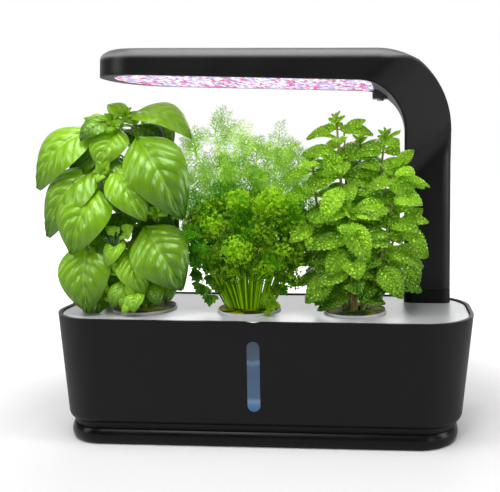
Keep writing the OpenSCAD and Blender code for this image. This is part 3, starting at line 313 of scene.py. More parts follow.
def deck_metal():
    """Fine brushed metal, the grain running along the tub, with a painted highlight that whitens the rolled
    edge.
    """
    material, nodes, links = new_material("deck_metal")
    shader = nodes["Principled BSDF"]
    lines = noise(nodes, links, 260.0, detail=5.0, stretch=(0.25, 6, 6))
    cloud = noise(nodes, links, 9.0, detail=3.0)
    flat = ramp(nodes, links, lines, [(0.3, (0.33, 0.33, 0.34)), (0.7, (0.4, 0.4, 0.41))])
    facing = split_axes(nodes, links, nodes.new("ShaderNodeNewGeometry").outputs["Normal"])
    # painted highlight: whiter where the rolled edge turns away from up
    rolled = map_range(nodes, links, facing["Z"], 0.97, 0.8)
    colour = blend(nodes, links, rolled, flat, (0.95, 0.95, 0.95, 1))
    sheen = map_range(nodes, links, cloud, 0.3, 0.7, 0.3, 0.38)
    set_inputs(links, shader, Metallic=0.25, Anisotropic=0.4, Base_Color=colour, Roughness=sheen)
    bump(nodes, links, shader, lines, strength=0.12, distance=0.00002)
    return material


def window_blue():
    """Blue water behind a clear window: slate above the waterline, brighter towards the floor, with two
    paler bands that are painted glints and a faint painted glow.
    """
    material, nodes, links = new_material("window_blue")
    shader = nodes["Principled BSDF"]
    place = split_axes(nodes, links, object_place(nodes))
    wobble = noise(nodes, links, 120.0, detail=3.0)
    height = calculate(nodes, links, "MULTIPLY_ADD", wobble, 0.004, place["Z"])
    low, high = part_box("sight_window")
    # the paler bands near 0.18 and 0.74 are painted glints
    colour = ramp(nodes, links, map_range(nodes, links, height, low.z, high.z), [
        (0.0, (0.012, 0.06, 0.17)), (0.12, (0.022, 0.09, 0.21)), (0.18, (0.08, 0.15, 0.23)),
        (0.24, (0.022, 0.06, 0.12)), (0.55, (0.018, 0.048, 0.1)), (0.68, (0.02, 0.054, 0.11)),
        (0.74, (0.05, 0.11, 0.17)), (0.78, (0.018, 0.042, 0.075)), (1.0, (0.012, 0.026, 0.055)),
    ])
    # painted glow: the water glows a little, though it is no lamp
    set_inputs(links, shader, Base_Color=colour, Emission_Color=colour, Emission_Strength=0.25,
               Roughness=0.16, Coat_Weight=0.3, Coat_Roughness=0.05)
    bump(nodes, links, shader, wobble, strength=0.15, distance=0.0004)
    return material


def lens_glow():
    """The lit lens: white and lilac, with pink-red spots where the red diodes sit."""
    material, nodes, links = new_material("lens_glow")
    mapping = nodes.new("ShaderNodeMapping")
    set_inputs(links, mapping, Scale=(1, 0.35, 0), Vector=object_place(nodes))
    cells = nodes.new("ShaderNodeTexVoronoi")
    set_inputs(links, cells, Scale=330.0, Randomness=0.75, Vector=mapping.outputs[0])
    pick = nodes.new("ShaderNodeSeparateColor")
    links.new(cells.outputs["Color"], pick.inputs[0])
    hue = ramp(nodes, links, pick.outputs["Red"], [
        (0.0, (1.0, 0.98, 1.0)), (0.44, (0.97, 0.93, 1.0)), (0.46, (0.62, 0.5, 0.86)),
        (0.64, (0.6, 0.45, 0.8)), (0.66, (0.9, 0.12, 0.32)), (0.82, (0.8, 0.07, 0.24)),
        (0.84, (1.0, 0.95, 1.0)), (1.0, (1.0, 1.0, 1.0)),
    ])
    spot = ramp(nodes, links, cells.outputs["Distance"], [(0.18, (1, 1, 1)), (0.6, (0.42, 0.33, 0.56))])
    colour = blend(nodes, links, 0.8, hue, spot, "MULTIPLY")
    set_inputs(links, nodes["Principled BSDF"], Base_Color=colour, Emission_Color=colour,
               Emission_Strength=0.9, Roughness=0.25, Specular_IOR_Level=0.2)
    return material


def lit_diode(name, colour):
    material, nodes, links = new_material(name)
    grain = noise(nodes, links, 900.0, detail=1.0)
    tone = ramp(nodes, links, grain, [(0.3, scaled(colour, 0.8)), (0.6, colour)])
    set_inputs(links, nodes["Principled BSDF"], Base_Color=tone, Emission_Color=tone, Emission_Strength=1.2)
    return material


def label_print():
    """Plain printed disc: an olive and yellow-green field with darker green leaf-like patches."""
    material, nodes, links = new_material("label_print")
    field = ramp(nodes, links, noise(nodes, links, 110.0, detail=2.0), [
        (0.38, (0.008, 0.03, 0.001)), (0.44, (0.02, 0.06, 0.002)), (0.49, (0.12, 0.13, 0.002)),
        (0.65, (0.26, 0.25, 0.005)),
    ])
    set_inputs(links, nodes["Principled BSDF"], Base_Color=field, Roughness=0.6, Specular_IOR_Level=0.04)
    return material


def porous(name, dark, light, scale):
    material, nodes, links = new_material(name)
    shader = nodes["Principled BSDF"]
    cells = noise(nodes, links, scale, detail=6.0)
    tone = ramp(nodes, links, cells, [(0.35, dark), (0.65, light)])
    set_inputs(links, shader, Base_Color=tone, Roughness=0.95)
    bump(nodes, links, shader, cells, strength=0.8, distance=0.0006)
    return material


def clear_hose():
    material, nodes, links = new_material("clear_hose")
    shader = nodes["Principled BSDF"]
    set_inputs(links, shader, Base_Color=(0.85, 0.9, 0.92, 1), Transmission_Weight=0.8, Roughness=0.2)
    bump(nodes, links, shader, noise(nodes, links, 300.0), strength=0.1, distance=0.0002)
    return material


def circuit_board():
    material, nodes, links = new_material("circuit_board")
    tracks = nodes.new("ShaderNodeTexBrick")
    set_inputs(links, tracks, Scale=160.0, Color1=(0.02, 0.14, 0.06, 1), Color2=(0.03, 0.18, 0.08, 1),
               Mortar=(0.05, 0.3, 0.13, 1), Vector=object_place(nodes))
    set_inputs(links, nodes["Principled BSDF"], Base_Color=tracks.outputs["Color"], Roughness=0.35)
    return material


def dress(material, *names):
    """Gives the CAD nodes with these names the material."""
    for name in names:
        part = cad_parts[name]
        if not part.material_slots:
            part.data.materials.append(material)
        for slot in part.material_slots:
            slot.material = material


def dress_frame():
    near_black, black = (0.0015, 0.0015, 0.002), (0.002, 0.002, 0.0025)
    # the arm carries a painted highlight along its top edge
    arm_black = moulded("arm_black", black, 0.36, gloss=0.26, edge=0.004, painted_top_highlight=(0.17, 0.075))
    filter_foam = porous("filter_foam", (0.05, 0.05, 0.055), (0.16, 0.16, 0.17), 700.0)
    peat_sponge = porous("peat_sponge", (0.02, 0.012, 0.007), (0.09, 0.06, 0.035), 500.0)
    dress(moulded("tub_black", near_black, 0.46, gloss=0.2), "tub", "mast_collar")
    dress(arm_black, "arm_shell")
    dress(moulded("plinth_black", black, 0.28, depth=0.00001, gloss=0.16), "base_plinth", "power_button")
    dress(moulded("inner_black", (0.05, 0.05, 0.055), 0.5), "bottom_cover", "bay_lid", "contact_socket",
          "contact_plug", "power_inlet", "pump_body", "pump_cap", "lens_latch", "button_switch")
    dress(moulded("seal_rubber", (0.03, 0.03, 0.03), 0.75, grain=1500.0), "rubber_feet", "window_gasket",
          "pump_feet", "pump_lead", "wire_grommet", "deck_seal")
    dress(metal("screw_steel", (0.55, 0.55, 0.57), 0.3), "base_screws", "lid_screws", "board_screws",
          "mast_screws", "hood_screws", "latch_screw", "pump_shaft")
    dress(metal("bare_aluminium", (0.75, 0.76, 0.77), 0.35, (1, 1, 0.1)), "inner_mast", "heat_spreader")
    dress(moulded("board_white", (0.8, 0.8, 0.79), 0.35, shade=0.03), "led_board", "lamp_ribbon",
          "pump_impeller")
    dress(moulded("basket_grey", (0.45, 0.44, 0.49), 0.38, shade=0.04), "basket_left", "basket_middle",
          "basket_right")
    dress(deck_metal(), "grow_deck")
    dress(window_blue(), "sight_window")
    dress(lens_glow(), "led_lens")
    dress(lit_diode("diode_white", (1.0, 0.97, 0.92)), "leds_white")
    dress(lit_diode("diode_red", (1.0, 0.12, 0.25)), "leds_red")
    dress(lit_diode("diode_blue", (0.3, 0.35, 1.0)), "leds_blue")
    dress(circuit_board(), "control_board")
    dress(clear_hose(), "pump_tube")
    dress(filter_foam, "pump_filter", "friction_pads")
    dress(peat_sponge, "sponge_left", "sponge_middle", "sponge_right")
    dress(label_print(), "label_left", "label_middle", "label_right")


# ---- Leaf meshes ----


class Growth:
    """One plant's faces, with each face corner's place on its leaf and each leaf's shade: a tone from dark
    to pale that holds both colour differing at random and painted light and shade.
    """

    def __init__(self, name):
        self.name = name
        self.points, self.faces, self.places, self.shades, self.slots = [], [], [], [], []

    def grid(self, rows, shade, slot=0, closed=False):
        """Adds a sheet from rows of (point, (u, v))."""
        start, width = len(self.points), len(rows[0])
        for row in rows:
            self.points.extend(point for point, _ in row)
        for i in range(len(rows) - 1):
            for j in range(width if closed else width - 1):
                k = (j + 1) % width
                self.faces.append((start + i * width + j, start + i * width + k,
                                   start + (i + 1) * width + k, start + (i + 1) * width + j))
                self.places.extend((rows[i][j][1], rows[i][k][1], rows[i + 1][k][1], rows[i + 1][j][1]))
                self.shades.append(shade)
                self.slots.append(slot)

    def press(self, axis, limit, share, touched=None):
        """Presses the touched points that lie past limit along axis back to a share of that, so that a
        plant stays clear of the lamp while its pod is lifted."""
        for point in self.points:
            if point[axis] > limit and (touched is None or touched(point)):
                point[axis] = limit + share * (point[axis] - limit)

    def build(self, materials, node, body):
        mesh = bpy.data.meshes.new(self.name)
        mesh.from_pydata([tuple(p * MM) for p in self.points], [], self.faces)
        layer = mesh.uv_layers.new(name="leaf")
        layer.data.foreach_set("uv", [c for place in self.places for c in place])
        shade = mesh.attributes.new("shade", "FLOAT", "FACE")
        shade.data.foreach_set("value", self.shades)
        for material in materials:
            mesh.materials.append(material)
        mesh.polygons.foreach_set("material_index", self.slots)
        mesh.polygons.foreach_set("use_smooth", [True] * len(self.faces))
        plant = add_object(self.name, mesh)
        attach(plant, body)
        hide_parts(node)


def ovate(t, belly=0.42, tip=1.0):
    """Half width of a leaf from base to tip, 1 at its widest, pointed at the tip."""
    if t < belly:
        return math.sin(0.5 * math.pi * (t / belly)) ** 0.62 if t > 0 else 0.0
    return max(0.0, math.cos(0.5 * math.pi * (t - belly) / (1 - belly))) ** tip


def blade(growth, base, tip, width, face, arch=0.18, cup=0.2, veins=6, relief=0.06, teeth=0, tooth=0.16,
          belly=0.42, droop=0.0, rows=16, half=5, shade=0.5, point=0.75, lean=2.2):
    """One leaf from base to tip, its upper side turned to face. Lengths in mm, the rest as shares of the
    width or length: arch lifts the middle, droop bends the tip down, fold sinks the midrib, cup turns the
    edges down and relief raises the flesh between the veins, which lean towards the tip. Each tooth takes
    three rows."""
    fold = 0.14
    base, tip, face = Vector(base), Vector(tip), Vector(face)
    along = tip - base
    length = along.length
    along.normalize()
    normal = (face - face.dot(along) * along).normalized()
    across = along.cross(normal)
    rows = 3 * teeth if teeth else rows
    sheet = []
    for i in range(rows + 1):
        t = i / rows
        spine = base + along * (length * t) + normal * (length * arch * 4 * t * (1 - t))
        spine -= UP * (length * droop * t * t)
        reach = 0.5 * width * max(ovate(t, belly, point), 0.02)
        notch = tooth * (i % 3) / 2 if teeth else 0.0
        row = []
        for j in range(-half, half + 1):
            q = j / half
            side = abs(q)
            edge = 1.0 - notch * side ** 4
            between_veins = abs(math.sin(math.pi * (veins * t - lean * side ** 1.2)))
            bulge = between_veins * math.sin(math.pi * side ** 0.8)
            lift = fold * (1 - (1 - side) ** 3) - cup * side * side + relief * bulge
            spot = spine + across * (q * reach * edge) + normal * (0.5 * width * lift)
            row.append((spot, (0.5 + 0.5 * q, t)))
        sheet.append(row)
    growth.grid(sheet, shade)


def stalk(growth, path, radius, end_radius=None, sides=6, shade=0.5, slot=1):
    """A round stem through the points of path, in mm."""
    end_radius = radius if end_radius is None else end_radius
    path = [Vector(p) for p in path]
    rings = []
    for i, point in enumerate(path):
        ahead = path[min(i + 1, len(path) - 1)] - path[max(i - 1, 0)]
        ahead.normalize()
        first = ahead.cross(Vector((0.3, 1, 0.1))).normalized()
        second = ahead.cross(first)
        t = i / (len(path) - 1)
        thick = radius + (end_radius - radius) * t
        rings.append([
            (point + (first * math.cos(a) + second * math.sin(a)) * thick, (a / (2 * math.pi), t))
            for a in (2 * math.pi * k / sides for k in range(sides))
        ])
    growth.grid(rings, shade, slot, closed=True)


def curve(start, middle, end, count=8):
    """Points of a bent line from start to end, pulled towards middle."""
    start, middle, end = Vector(start), Vector(middle), Vector(end)
    return [
        start * (1 - t) ** 2 + middle * (2 * t * (1 - t)) + end * t * t
        for t in (i / count for i in range(count + 1))
    ]


def leaf_material(name, dark, light, vein, veins, roughness, quilt=0.0, pale=0.35, gloss=0.25, lean=2.2,
                  painted_crease_shade=0.3, cell=420.0, glow=0.3, mottled=0.5, painted_tip_shade=0.2, depth=0.9):
    """A leaf's flesh with paler veins, painted shade in the creases beside them, and the light that comes
    through it. veins counts the side veins, lean is how far they run towards the tip, quilt the height of
    the small pillows between them, whose middles it also paints lighter and whose edges darker as painted
    light and shade, painted_crease_shade how dark the painted crease shade is, mottled how blotchy the flesh
    is, painted_tip_shade how much painted shade darkens it from base to tip, depth the strength of the
    relief and glow the share of light let through."""
    green_sheen = (0.7, 1.0, 0.55, 1)
    material, nodes, links = new_material(name)
    shader = nodes["Principled BSDF"]
    uv = nodes.new("ShaderNodeUVMap")
    uv.uv_map = "leaf"
    on_leaf = split_axes(nodes, links, uv.outputs[0])

    def calc(operation, *values):
        return calculate(nodes, links, operation, *values)

    def thin_line(value, sharpness):
        return calc("SUBTRACT", 1.0, calc("MINIMUM", calc("MULTIPLY", value, sharpness), 1.0))

    side = calc("ABSOLUTE", calc("MULTIPLY_ADD", on_leaf["X"], 2.0, -1.0))
    leaning = calc("MULTIPLY", calc("POWER", side, 1.2), lean)
    phase = calc("SUBTRACT", calc("MULTIPLY", on_leaf["Y"], veins), leaning)
    wave = calc("ABSOLUTE", calc("SINE", calc("MULTIPLY", phase, math.pi)))
    midrib = thin_line(side, sharpness=12.0)
    side_veins = calc("MULTIPLY", thin_line(wave, sharpness=5.0), 0.45)
    lines = calc("MAXIMUM", side_veins, midrib)
    mottle = noise(nodes, links, 160.0, detail=4.0)
    cells = nodes.new("ShaderNodeTexVoronoi")
    cells.feature = "DISTANCE_TO_EDGE"
    set_inputs(links, cells, Scale=cell, Vector=object_place(nodes))
    dome = calc("MINIMUM", calc("MULTIPLY", cells.outputs["Distance"], 4.0), 1.0)
    pillow = calc("MULTIPLY", calc("SUBTRACT", dome, 0.6), quilt)
    shade = nodes.new("ShaderNodeAttribute")
    shade.attribute_name = "shade"
    inner = calc("SUBTRACT", 1.0, calc("MULTIPLY", side, 0.6))
    # painted shade: the flesh is darker in the creases beside the veins
    flank = calc("SUBTRACT", calc("POWER", wave, 0.6), 0.7)
    painted_crease_tone = calc("MULTIPLY", flank, calc("MULTIPLY", inner, painted_crease_shade))
    tone = calc("ADD", calc("MULTIPLY_ADD", mottle, mottled, -0.5 * mottled), shade.outputs["Fac"])
    # painted shade: the flesh darkens from base to tip
    tone = calc("ADD", tone, calc("MULTIPLY_ADD", on_leaf["Y"], -painted_tip_shade, 0.55 * painted_tip_shade))
    # painted light and shade on the small pillows: lighter in their middles, darker at their edges
    tone = calc("ADD", calc("ADD", tone, painted_crease_tone), calc("MULTIPLY", pillow, 0.2))
    flesh = ramp(nodes, links, tone, [(0.1, dark), (0.9, light)])
    colour = blend(nodes, links, calc("MULTIPLY", lines, pale), flesh, (*vein, 1))
    set_inputs(links, shader, Base_Color=colour, Roughness=roughness, Specular_IOR_Level=gloss,
               Specular_Tint=green_sheen)
    ridges = calc("MULTIPLY", calc("SQRT", wave), calc("SUBTRACT", 0.7, calc("MULTIPLY", side, 0.45)))
    height = calc("ADD", ridges, calc("MULTIPLY", mottle, 0.6 * mottled))
    height = calc("ADD", height, calc("MULTIPLY", pillow, 2.2))
    height = calc("SUBTRACT", height, calc("MULTIPLY", midrib, 0.8))
    bump(nodes, links, shader, height, strength=depth, distance=0.0012)
    let_light_through(nodes, links, colour, glow)
    return material


def stem_material(name, low, high):
    """A stem, mottled from one green or brown to another."""
    material, nodes, links = new_material(name)
    tone = ramp(nodes, links, noise(nodes, links, 60.0), [(0.35, low), (0.65, high)])
    set_inputs(links, nodes["Principled BSDF"], Base_Color=tone, Roughness=0.55, Specular_IOR_Level=0.2)
    return material


def thread_material(name, low, high, glow):
    """Thin green threads that let much of the light through, each one as pale as its shade says. glow is a
    painted glow, though the threads are no lamp, that makes up for light that bounces among them."""
    material, nodes, links = new_material(name)
    shade = nodes.new("ShaderNodeAttribute")
    shade.attribute_name = "shade"
    blotch = map_range(nodes, links, noise(nodes, links, 90.0), 0.3, 0.7, -0.15, 0.15)
    tone = calculate(nodes, links, "ADD", blotch, shade.outputs["Fac"])
    colour = ramp(nodes, links, tone, [(0.0, low), (1.0, high)])
    # painted glow: the threads glow by glow
    set_inputs(links, nodes["Principled BSDF"], Base_Color=colour, Emission_Color=colour,
               Emission_Strength=glow, Roughness=0.6, Specular_IOR_Level=0.05)
    let_light_through(nodes, links, colour, 0.5)
    return material


def pod_centre(name):
    """Middle of a pod's label and the height of its top, in mm."""
    low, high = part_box(name)
    return Vector(((low.x + high.x) / 2, (low.y + high.y) / 2, high.z)) / MM


# ---- Basil ----


def rosette(plant, place, size, count, dice):
    """Young leaves of mixed sizes opening from a growing point, the smallest in the middle."""
    shade = 0.85
    place = Vector(place)
    turn = dice.uniform(0, 2 * math.pi)
    for k in range(count):
        turn += GOLDEN_TURN
        reach = size * (0.45 + 0.55 * k / max(1, count - 1)) * dice.uniform(0.85, 1.15)
        out = Vector((math.cos(turn), -0.45, math.sin(turn) * 0.7 + 0.25)).normalized()
        tip = place + out * reach + TO_VIEWER * 3
        blade(plant, place, tip, reach * 0.7, TO_VIEWER + UP * 0.7 - out * 0.3, arch=0.16, cup=0.4, veins=4,
              relief=0.08, rows=18, shade=clamp(shade + dice.uniform(-0.12, 0.12)))


def grow_basil():
    """Broad glossy leaves that bow outwards from two stems, the large ones hanging."""
    plant = Growth("basil_leaves")
    root = pod_centre("label_left") + Vector((0, 0, -8))
    # base, tip, width, the way the upper side faces, arch, shade; the leaves further back are darker, partly
    # as painted shade
    large = [
        ((-127, -22, 189), (-142, -40, 142), 44, (-0.1, -1, 0.3), 0.18, 0.6),
        ((-132, -12, 204), (-167, -26, 154), 44, (-0.35, -1, 0.45), 0.2, 0.5),
        ((-141, -6, 234), (-179, -18, 190), 46, (-0.35, -1, 0.6), 0.2, 0.6),
        ((-101, -18, 227), (-59, -34, 170), 45, (0.2, -1, 0.4), 0.2, 0.45),
        ((-116, -26, 202), (-85, -42, 168), 30, (0.15, -1, 0.45), 0.18, 0.65),
        ((-118, -12, 234), (-126, -30, 206), 32, (-0.05, -1, 0.5), 0.14, 0.75),
        ((-111, -4, 247), (-60, -12, 231), 35, (0.15, -0.8, 0.9), 0.32, 0.85),
        ((-101, 4, 242), (-79, 0, 224), 28, (0.3, -1, 0.3), 0.12, 0.45),
        ((-137, -22, 149), (-130, -38, 98), 41, (0.0, -1, 0.25), 0.16, 0.5),
        ((-93, -22, 158), (-59, -36, 116), 43, (0.2, -1, 0.35), 0.18, 0.45),
        ((-106, -24, 141), (-88, -36, 112), 26, (0.1, -1, 0.4), 0.16, 0.7),
        ((-126, 2, 226), (-160, -8, 196), 34, (-0.3, -1, 0.3), 0.16, 0.2),
        ((-128, 4, 206), (-156, -6, 176), 36, (-0.3, -1, 0.3), 0.16, 0.25),
        ((-90, -8, 206), (-62, -14, 182), 28, (0.3, -1, 0.3), 0.2, 0.3),
        ((-88, -10, 150), (-64, -16, 128), 26, (0.3, -1, 0.3), 0.2, 0.3),
    ]
    # base, tip, width, the way the upper side faces, then what differs from a plain leaf
    small = [
        ((-117, -2, 249), (-129, -8, 259), 17, (-0.2, -0.9, 0.6), dict(shade=0.85)),
        ((-128, -4, 244), (-146, -12, 240), 15, (-0.2, -0.8, 0.8), dict(arch=0.25, shade=0.7)),
        ((-127, -10, 241), (-138, -20, 227), 13, (-0.2, -1, 0.4), dict(shade=0.65)),
        ((-112, -8, 240), (-101, -16, 251), 14, (0.1, -1, 0.2), dict(cup=0.5, shade=0.7)),
        ((-114, -10, 246), (-104, -18, 240), 13, (0.1, -0.8, 0.9), dict(cup=0.4, shade=0.8)),
        ((-122, -26, 200), (-126, -34, 209), 9, (0, -1, 0.3), dict(shade=0.95)),
        ((-122, -26, 200), (-116, -34, 210), 8, (0, -1, 0.3), dict(shade=0.95)),
        ((-123, -28, 200), (-125, -36, 193), 9, (0, -1, 0.3), dict(shade=0.9)),
        ((-108, -28, 151), (-115, -38, 130), 16, (-0.1, -1, 0.4), dict(arch=0.2, shade=0.85)),
        ((-107, -28, 152), (-97, -36, 161), 12, (0.1, -1, 0.3), dict(shade=0.85)),
        ((-109, -28, 152), (-118, -36, 160), 10, (-0.1, -1, 0.3), dict(shade=0.8)),
        ((-106, -30, 118), (-112, -38, 99), 14, (0, -1, 0.3), dict(shade=0.5)),
        ((-96, -30, 112), (-94, -42, 97), 16, (0, -1, 0.4), dict(shade=0.75)),
        ((-102, -30, 112), (-103, -40, 99), 13, (0, -1, 0.4), dict(shade=0.6)),
        ((-84, -24, 116), (-78, -34, 100), 14, (0, -1, 0.3), dict(shade=0.4)),
        ((-74, -20, 118), (-70, -30, 104), 12, (0.2, -1, 0.3), dict(shade=0.4)),
        ((-116, -20, 122), (-124, -26, 104), 14, (-0.2, -1, 0.3), dict(shade=0.35)),
    ]
    for base, tip, width, face, arch, shade in large:
        blade(plant, base, tip, width, face, rows=44, half=11, arch=arch, droop=0.06, shade=shade, lean=1.9,
              point=0.8)
        start = (base[0] * 0.8 - 20, -9, base[2] - 6)
        stalk(plant, curve(start, (base[0], -4, base[2] + 2), base, 5), 1.0, 0.8)
    for base, tip, width, face, extra in small:
        blade(plant, base, tip, width, face, veins=4, relief=0.1, **extra)
    dice = random.Random(5)
    # place, size, number of leaves
    rosettes = [
        ((-112, -10, 248), 14, 7), ((-132, -8, 241), 15, 6), ((-122, -12, 243), 12, 7),
        ((-118, -18, 236), 10, 5), ((-123, -27, 202), 8, 6), ((-111, -29, 152), 12, 6),
        ((-96, -31, 106), 13, 5), ((-121, -26, 107), 12, 5), ((-109, -27, 124), 12, 5),
        ((-126, -12, 150), 14, 5), ((-84, -20, 170), 13, 5),
    ]
    for place, size, count in rosettes:
        rosette(plant, place, size, count, dice)
    # the inner leaves fill the gaps, painted dark as painted shade deep in the plant
    inner_leaves, lowest, highest = 70, 104, 242
    for k in range(inner_leaves):
        turn = dice.uniform(-0.2, math.pi + 0.2) if k % 3 else dice.uniform(math.pi, 2 * math.pi)
        height = dice.uniform(lowest, highest)
        core = Vector((-112 + (height - 100) * -0.05, -6, height))
        out = Vector((math.cos(turn), math.sin(turn) * 0.8, 0))
        base = core + out * dice.uniform(6, 14)
        reach = dice.uniform(24, 40)
        tip = base + out * reach * 0.8 + Vector((0, 0, -reach * dice.uniform(0.2, 0.9)))
        blade(plant, base, tip, reach * 0.78, out * 0.6 + UP * 0.4 + TO_VIEWER * 0.6, arch=0.2, droop=0.05,
              rows=15, veins=5, relief=0.1, shade=dice.uniform(0.1, 0.45))
        stalk(plant, curve(core, core + out * 5 + UP * 2, base, 4), 0.8, sides=5)
    stalk(plant, curve(root, (-104, -9, 160), (-118, -12, 206), 10), 2.6, 1.8, sides=8)
    stalk(plant, curve((-118, -12, 206), (-122, -10, 225), (-116, -6, 246), 8), 1.8, 1.2, sides=8)
    stalk(plant, curve(root + Vector((4, 3, 0)), (-92, -6, 180), (-102, -6, 246), 10), 2.2, 1.2, sides=8)
    stalk(plant, curve(root + Vector((-4, -2, 0)), (-108, -18, 130), (-108, -28, 151), 8), 1.6, 1.0, sides=7)
    leaf = leaf_material("basil_leaf", (0.004, 0.05, 0.001), (0.3, 0.6, 0.01), (0.44, 0.78, 0.1),
                         veins=6.0, roughness=0.27, gloss=0.95, painted_crease_shade=0.2, mottled=0.16, painted_tip_shade=0.65,
                         lean=1.9, depth=0.55)
    stem = stem_material("basil_stem", (0.24, 0.44, 0.02), (0.42, 0.62, 0.06))
    plant.press(Z_AXIS, limit=236, share=0.78)
    plant.build([leaf, stem], "basil_plant", "pod_left")


# ---- Mint ----


def mint_pair(plant, node, turn, size, dice, shade):
    """Two toothed leaves facing each other across a stem."""
    for side in (0, math.pi):
        out = Vector((math.cos(turn + side), math.sin(turn + side) * 0.75, 0))
        base = node + out * 2.2
        reach = size * dice.uniform(0.85, 1.1)
        tip = base + out * reach + UP * reach * (0.15 - dice.uniform(0.1, 0.45))
        width = reach * dice.uniform(0.6, 0.72)
        tone = clamp(shade + dice.uniform(-0.15, 0.15))
        stalk(plant, [node, base], 0.6, 0.5, sides=4)
        blade(plant, base, tip, width, out * 0.1 + UP + TO_VIEWER * 0.8, arch=0.12, droop=0.12, teeth=7,
              veins=7, relief=0.14, lean=1.6, shade=tone)


def beside_the_bend(point):
    """Whether a point stands so high and so far back that the arm's bend is beside it."""
    return point.z > 200 and point.y > -18


def grow_mint():
    """Upright brown-green stems with crossed pairs of toothed, quilted leaves, palest at the tips."""
    plant = Growth("mint_leaves")
    dice = random.Random(11)
    root = pod_centre("label_right")
    # foot beside the pod's middle, then middle, top and thickness
    stems = [
        ((-5, -3), (36, -14, 165), (36, -16, 213), 1.5),
        ((-3, -4), (60, -16, 160), (54, -14, 244), 1.6),
        ((0, 0), (72, -4, 170), (72, -4, 228), 1.5),
        ((3, -4), (98, -18, 150), (100, -22, 208), 1.5),
        ((4, 1), (84, -4, 165), (92, -8, 232), 1.5),
        ((2, 4), (62, 8, 160), (58, 12, 216), 1.4),
        ((5, 2), (100, 2, 135), (104, 0, 178), 1.3),
        ((-4, 3), (44, 4, 135), (40, 6, 172), 1.3),
        ((0, -6), (66, -30, 130), (66, -32, 176), 1.3),
    ]
    steps, pair_gap, tip_leaves, bare_foot = 18, 11, 8, 0.16
    for (dx, dy), middle, top, thick in stems:
        foot = root + Vector((dx, dy, -8))
        path = curve(foot, middle, top, steps)
        stalk(plant, path, thick, 0.8, sides=7)
        height = top[2] - root.z
        pairs = max(5, int(height / pair_gap))
        turn = dice.uniform(0, math.pi)
        for k in range(pairs):
            t = bare_foot + (1 - bare_foot) * (k + 0.5) / pairs
            node = path[min(steps, int(round(t * steps)))]
            turn += math.pi / 2 + dice.uniform(-0.25, 0.25)
            share = 1 - abs(t - 0.5)
            # the leaves grow paler up the stem: the young tips' lighter green, and partly painted light
            mint_pair(plant, node, turn, 16 + 15 * share, dice, 0.24 + 0.6 * t)
        for k in range(tip_leaves):
            turn += GOLDEN_TURN
            out = Vector((math.cos(turn), math.sin(turn) * 0.8, 0))
            reach = 5 + 0.9 * k
            start = Vector(top) - UP * (1.2 * k)
            tip = start + out * reach * 0.9 + UP * reach * (1.0 - 0.12 * k)
            blade(plant, start, tip, reach * 0.62, TO_VIEWER * 0.8 + UP * 0.5 - out * 0.2, arch=0.14,
                  cup=0.3, teeth=5, veins=5, relief=0.14, half=4, shade=dice.uniform(0.75, 1.0))
    # single leaves in front: base, tip, width, the way the upper side faces, shade
    # paler is painted light: the single leaves in front are paler than the mass
    paler = 0.15
    heroes = [
        ((66, -34, 164), (80, -42, 138), 22, (0.1, -1, 0.4), 0.6),
        ((60, -32, 190), (46, -40, 168), 19, (-0.2, -1, 0.45), 0.75),
        ((62, -30, 144), (50, -38, 126), 19, (-0.1, -1, 0.4), 0.5),
        ((52, -24, 122), (33, -32, 105), 20, (-0.2, -1, 0.4), 0.35),
        ((38, -22, 160), (20, -30, 150), 14, (-0.1, -1, 0.5), 0.75),
        ((92, -26, 178), (68, -34, 174), 16, (0, -0.8, 0.7), 0.6),
        ((58, -22, 202), (46, -30, 216), 18, (-0.1, -1, 0.3), 0.6),
        ((101, -20, 198), (126, -24, 192), 11, (0.1, -0.6, 1), 0.6),
        ((102, -18, 208), (114, -22, 220), 11, (0.1, -1, 0.3), 0.6),
        ((94, -20, 196), (117, -30, 182), 16, (0.2, -1, 0.5), 0.5),
        ((110, -16, 166), (121, -20, 175), 11, (0.1, -1, 0.3), 0.5),
        ((105, -16, 162), (125, -26, 140), 15, (0.25, -1, 0.5), 0.5),
        ((106, -18, 142), (118, -28, 119), 17, (0.2, -1, 0.35), 0.3),
        ((88, -22, 130), (106, -34, 110), 21, (0.15, -1, 0.4), 0.4),
        ((56, -14, 227), (31, -18, 229), 8, (-0.1, -0.5, 1), 0.8),
        ((60, -14, 232), (77, -18, 243), 12, (0.1, -0.8, 0.7), 0.8),
        ((92, -8, 226), (111, -12, 235), 7, (0, -0.6, 1), 0.85),
    ]
    for base, tip, width, face, shade in heroes:
        blade(plant, base, tip, width, face, arch=0.12, droop=0.06, teeth=12, veins=8, relief=0.16,
              lean=1.6, half=8, shade=shade + paler)
        stalk(plant, curve(Vector(base) * 0.88 + root * 0.12, Vector(base) + UP, base, 4), 0.7, sides=5)
    leaf = leaf_material("mint_leaf", (0.012, 0.14, 0.002), (0.54, 1.0, 0.04), (0.55, 0.92, 0.1),
                         veins=8.0, roughness=0.25, quilt=0.9, gloss=1.1, painted_crease_shade=0.2, lean=1.6, pale=0.15,
                         cell=360.0, mottled=0.2, painted_tip_shade=0.35, glow=0.36)
    stem = stem_material("mint_stem", (0.2, 0.1, 0.04), (0.28, 0.34, 0.08))
    plant.press(X_AXIS, limit=103, share=0.1, touched=beside_the_bend)
    plant.build([leaf, stem], "mint_plant", "pod_right")


# ---- Parsley and dill ----


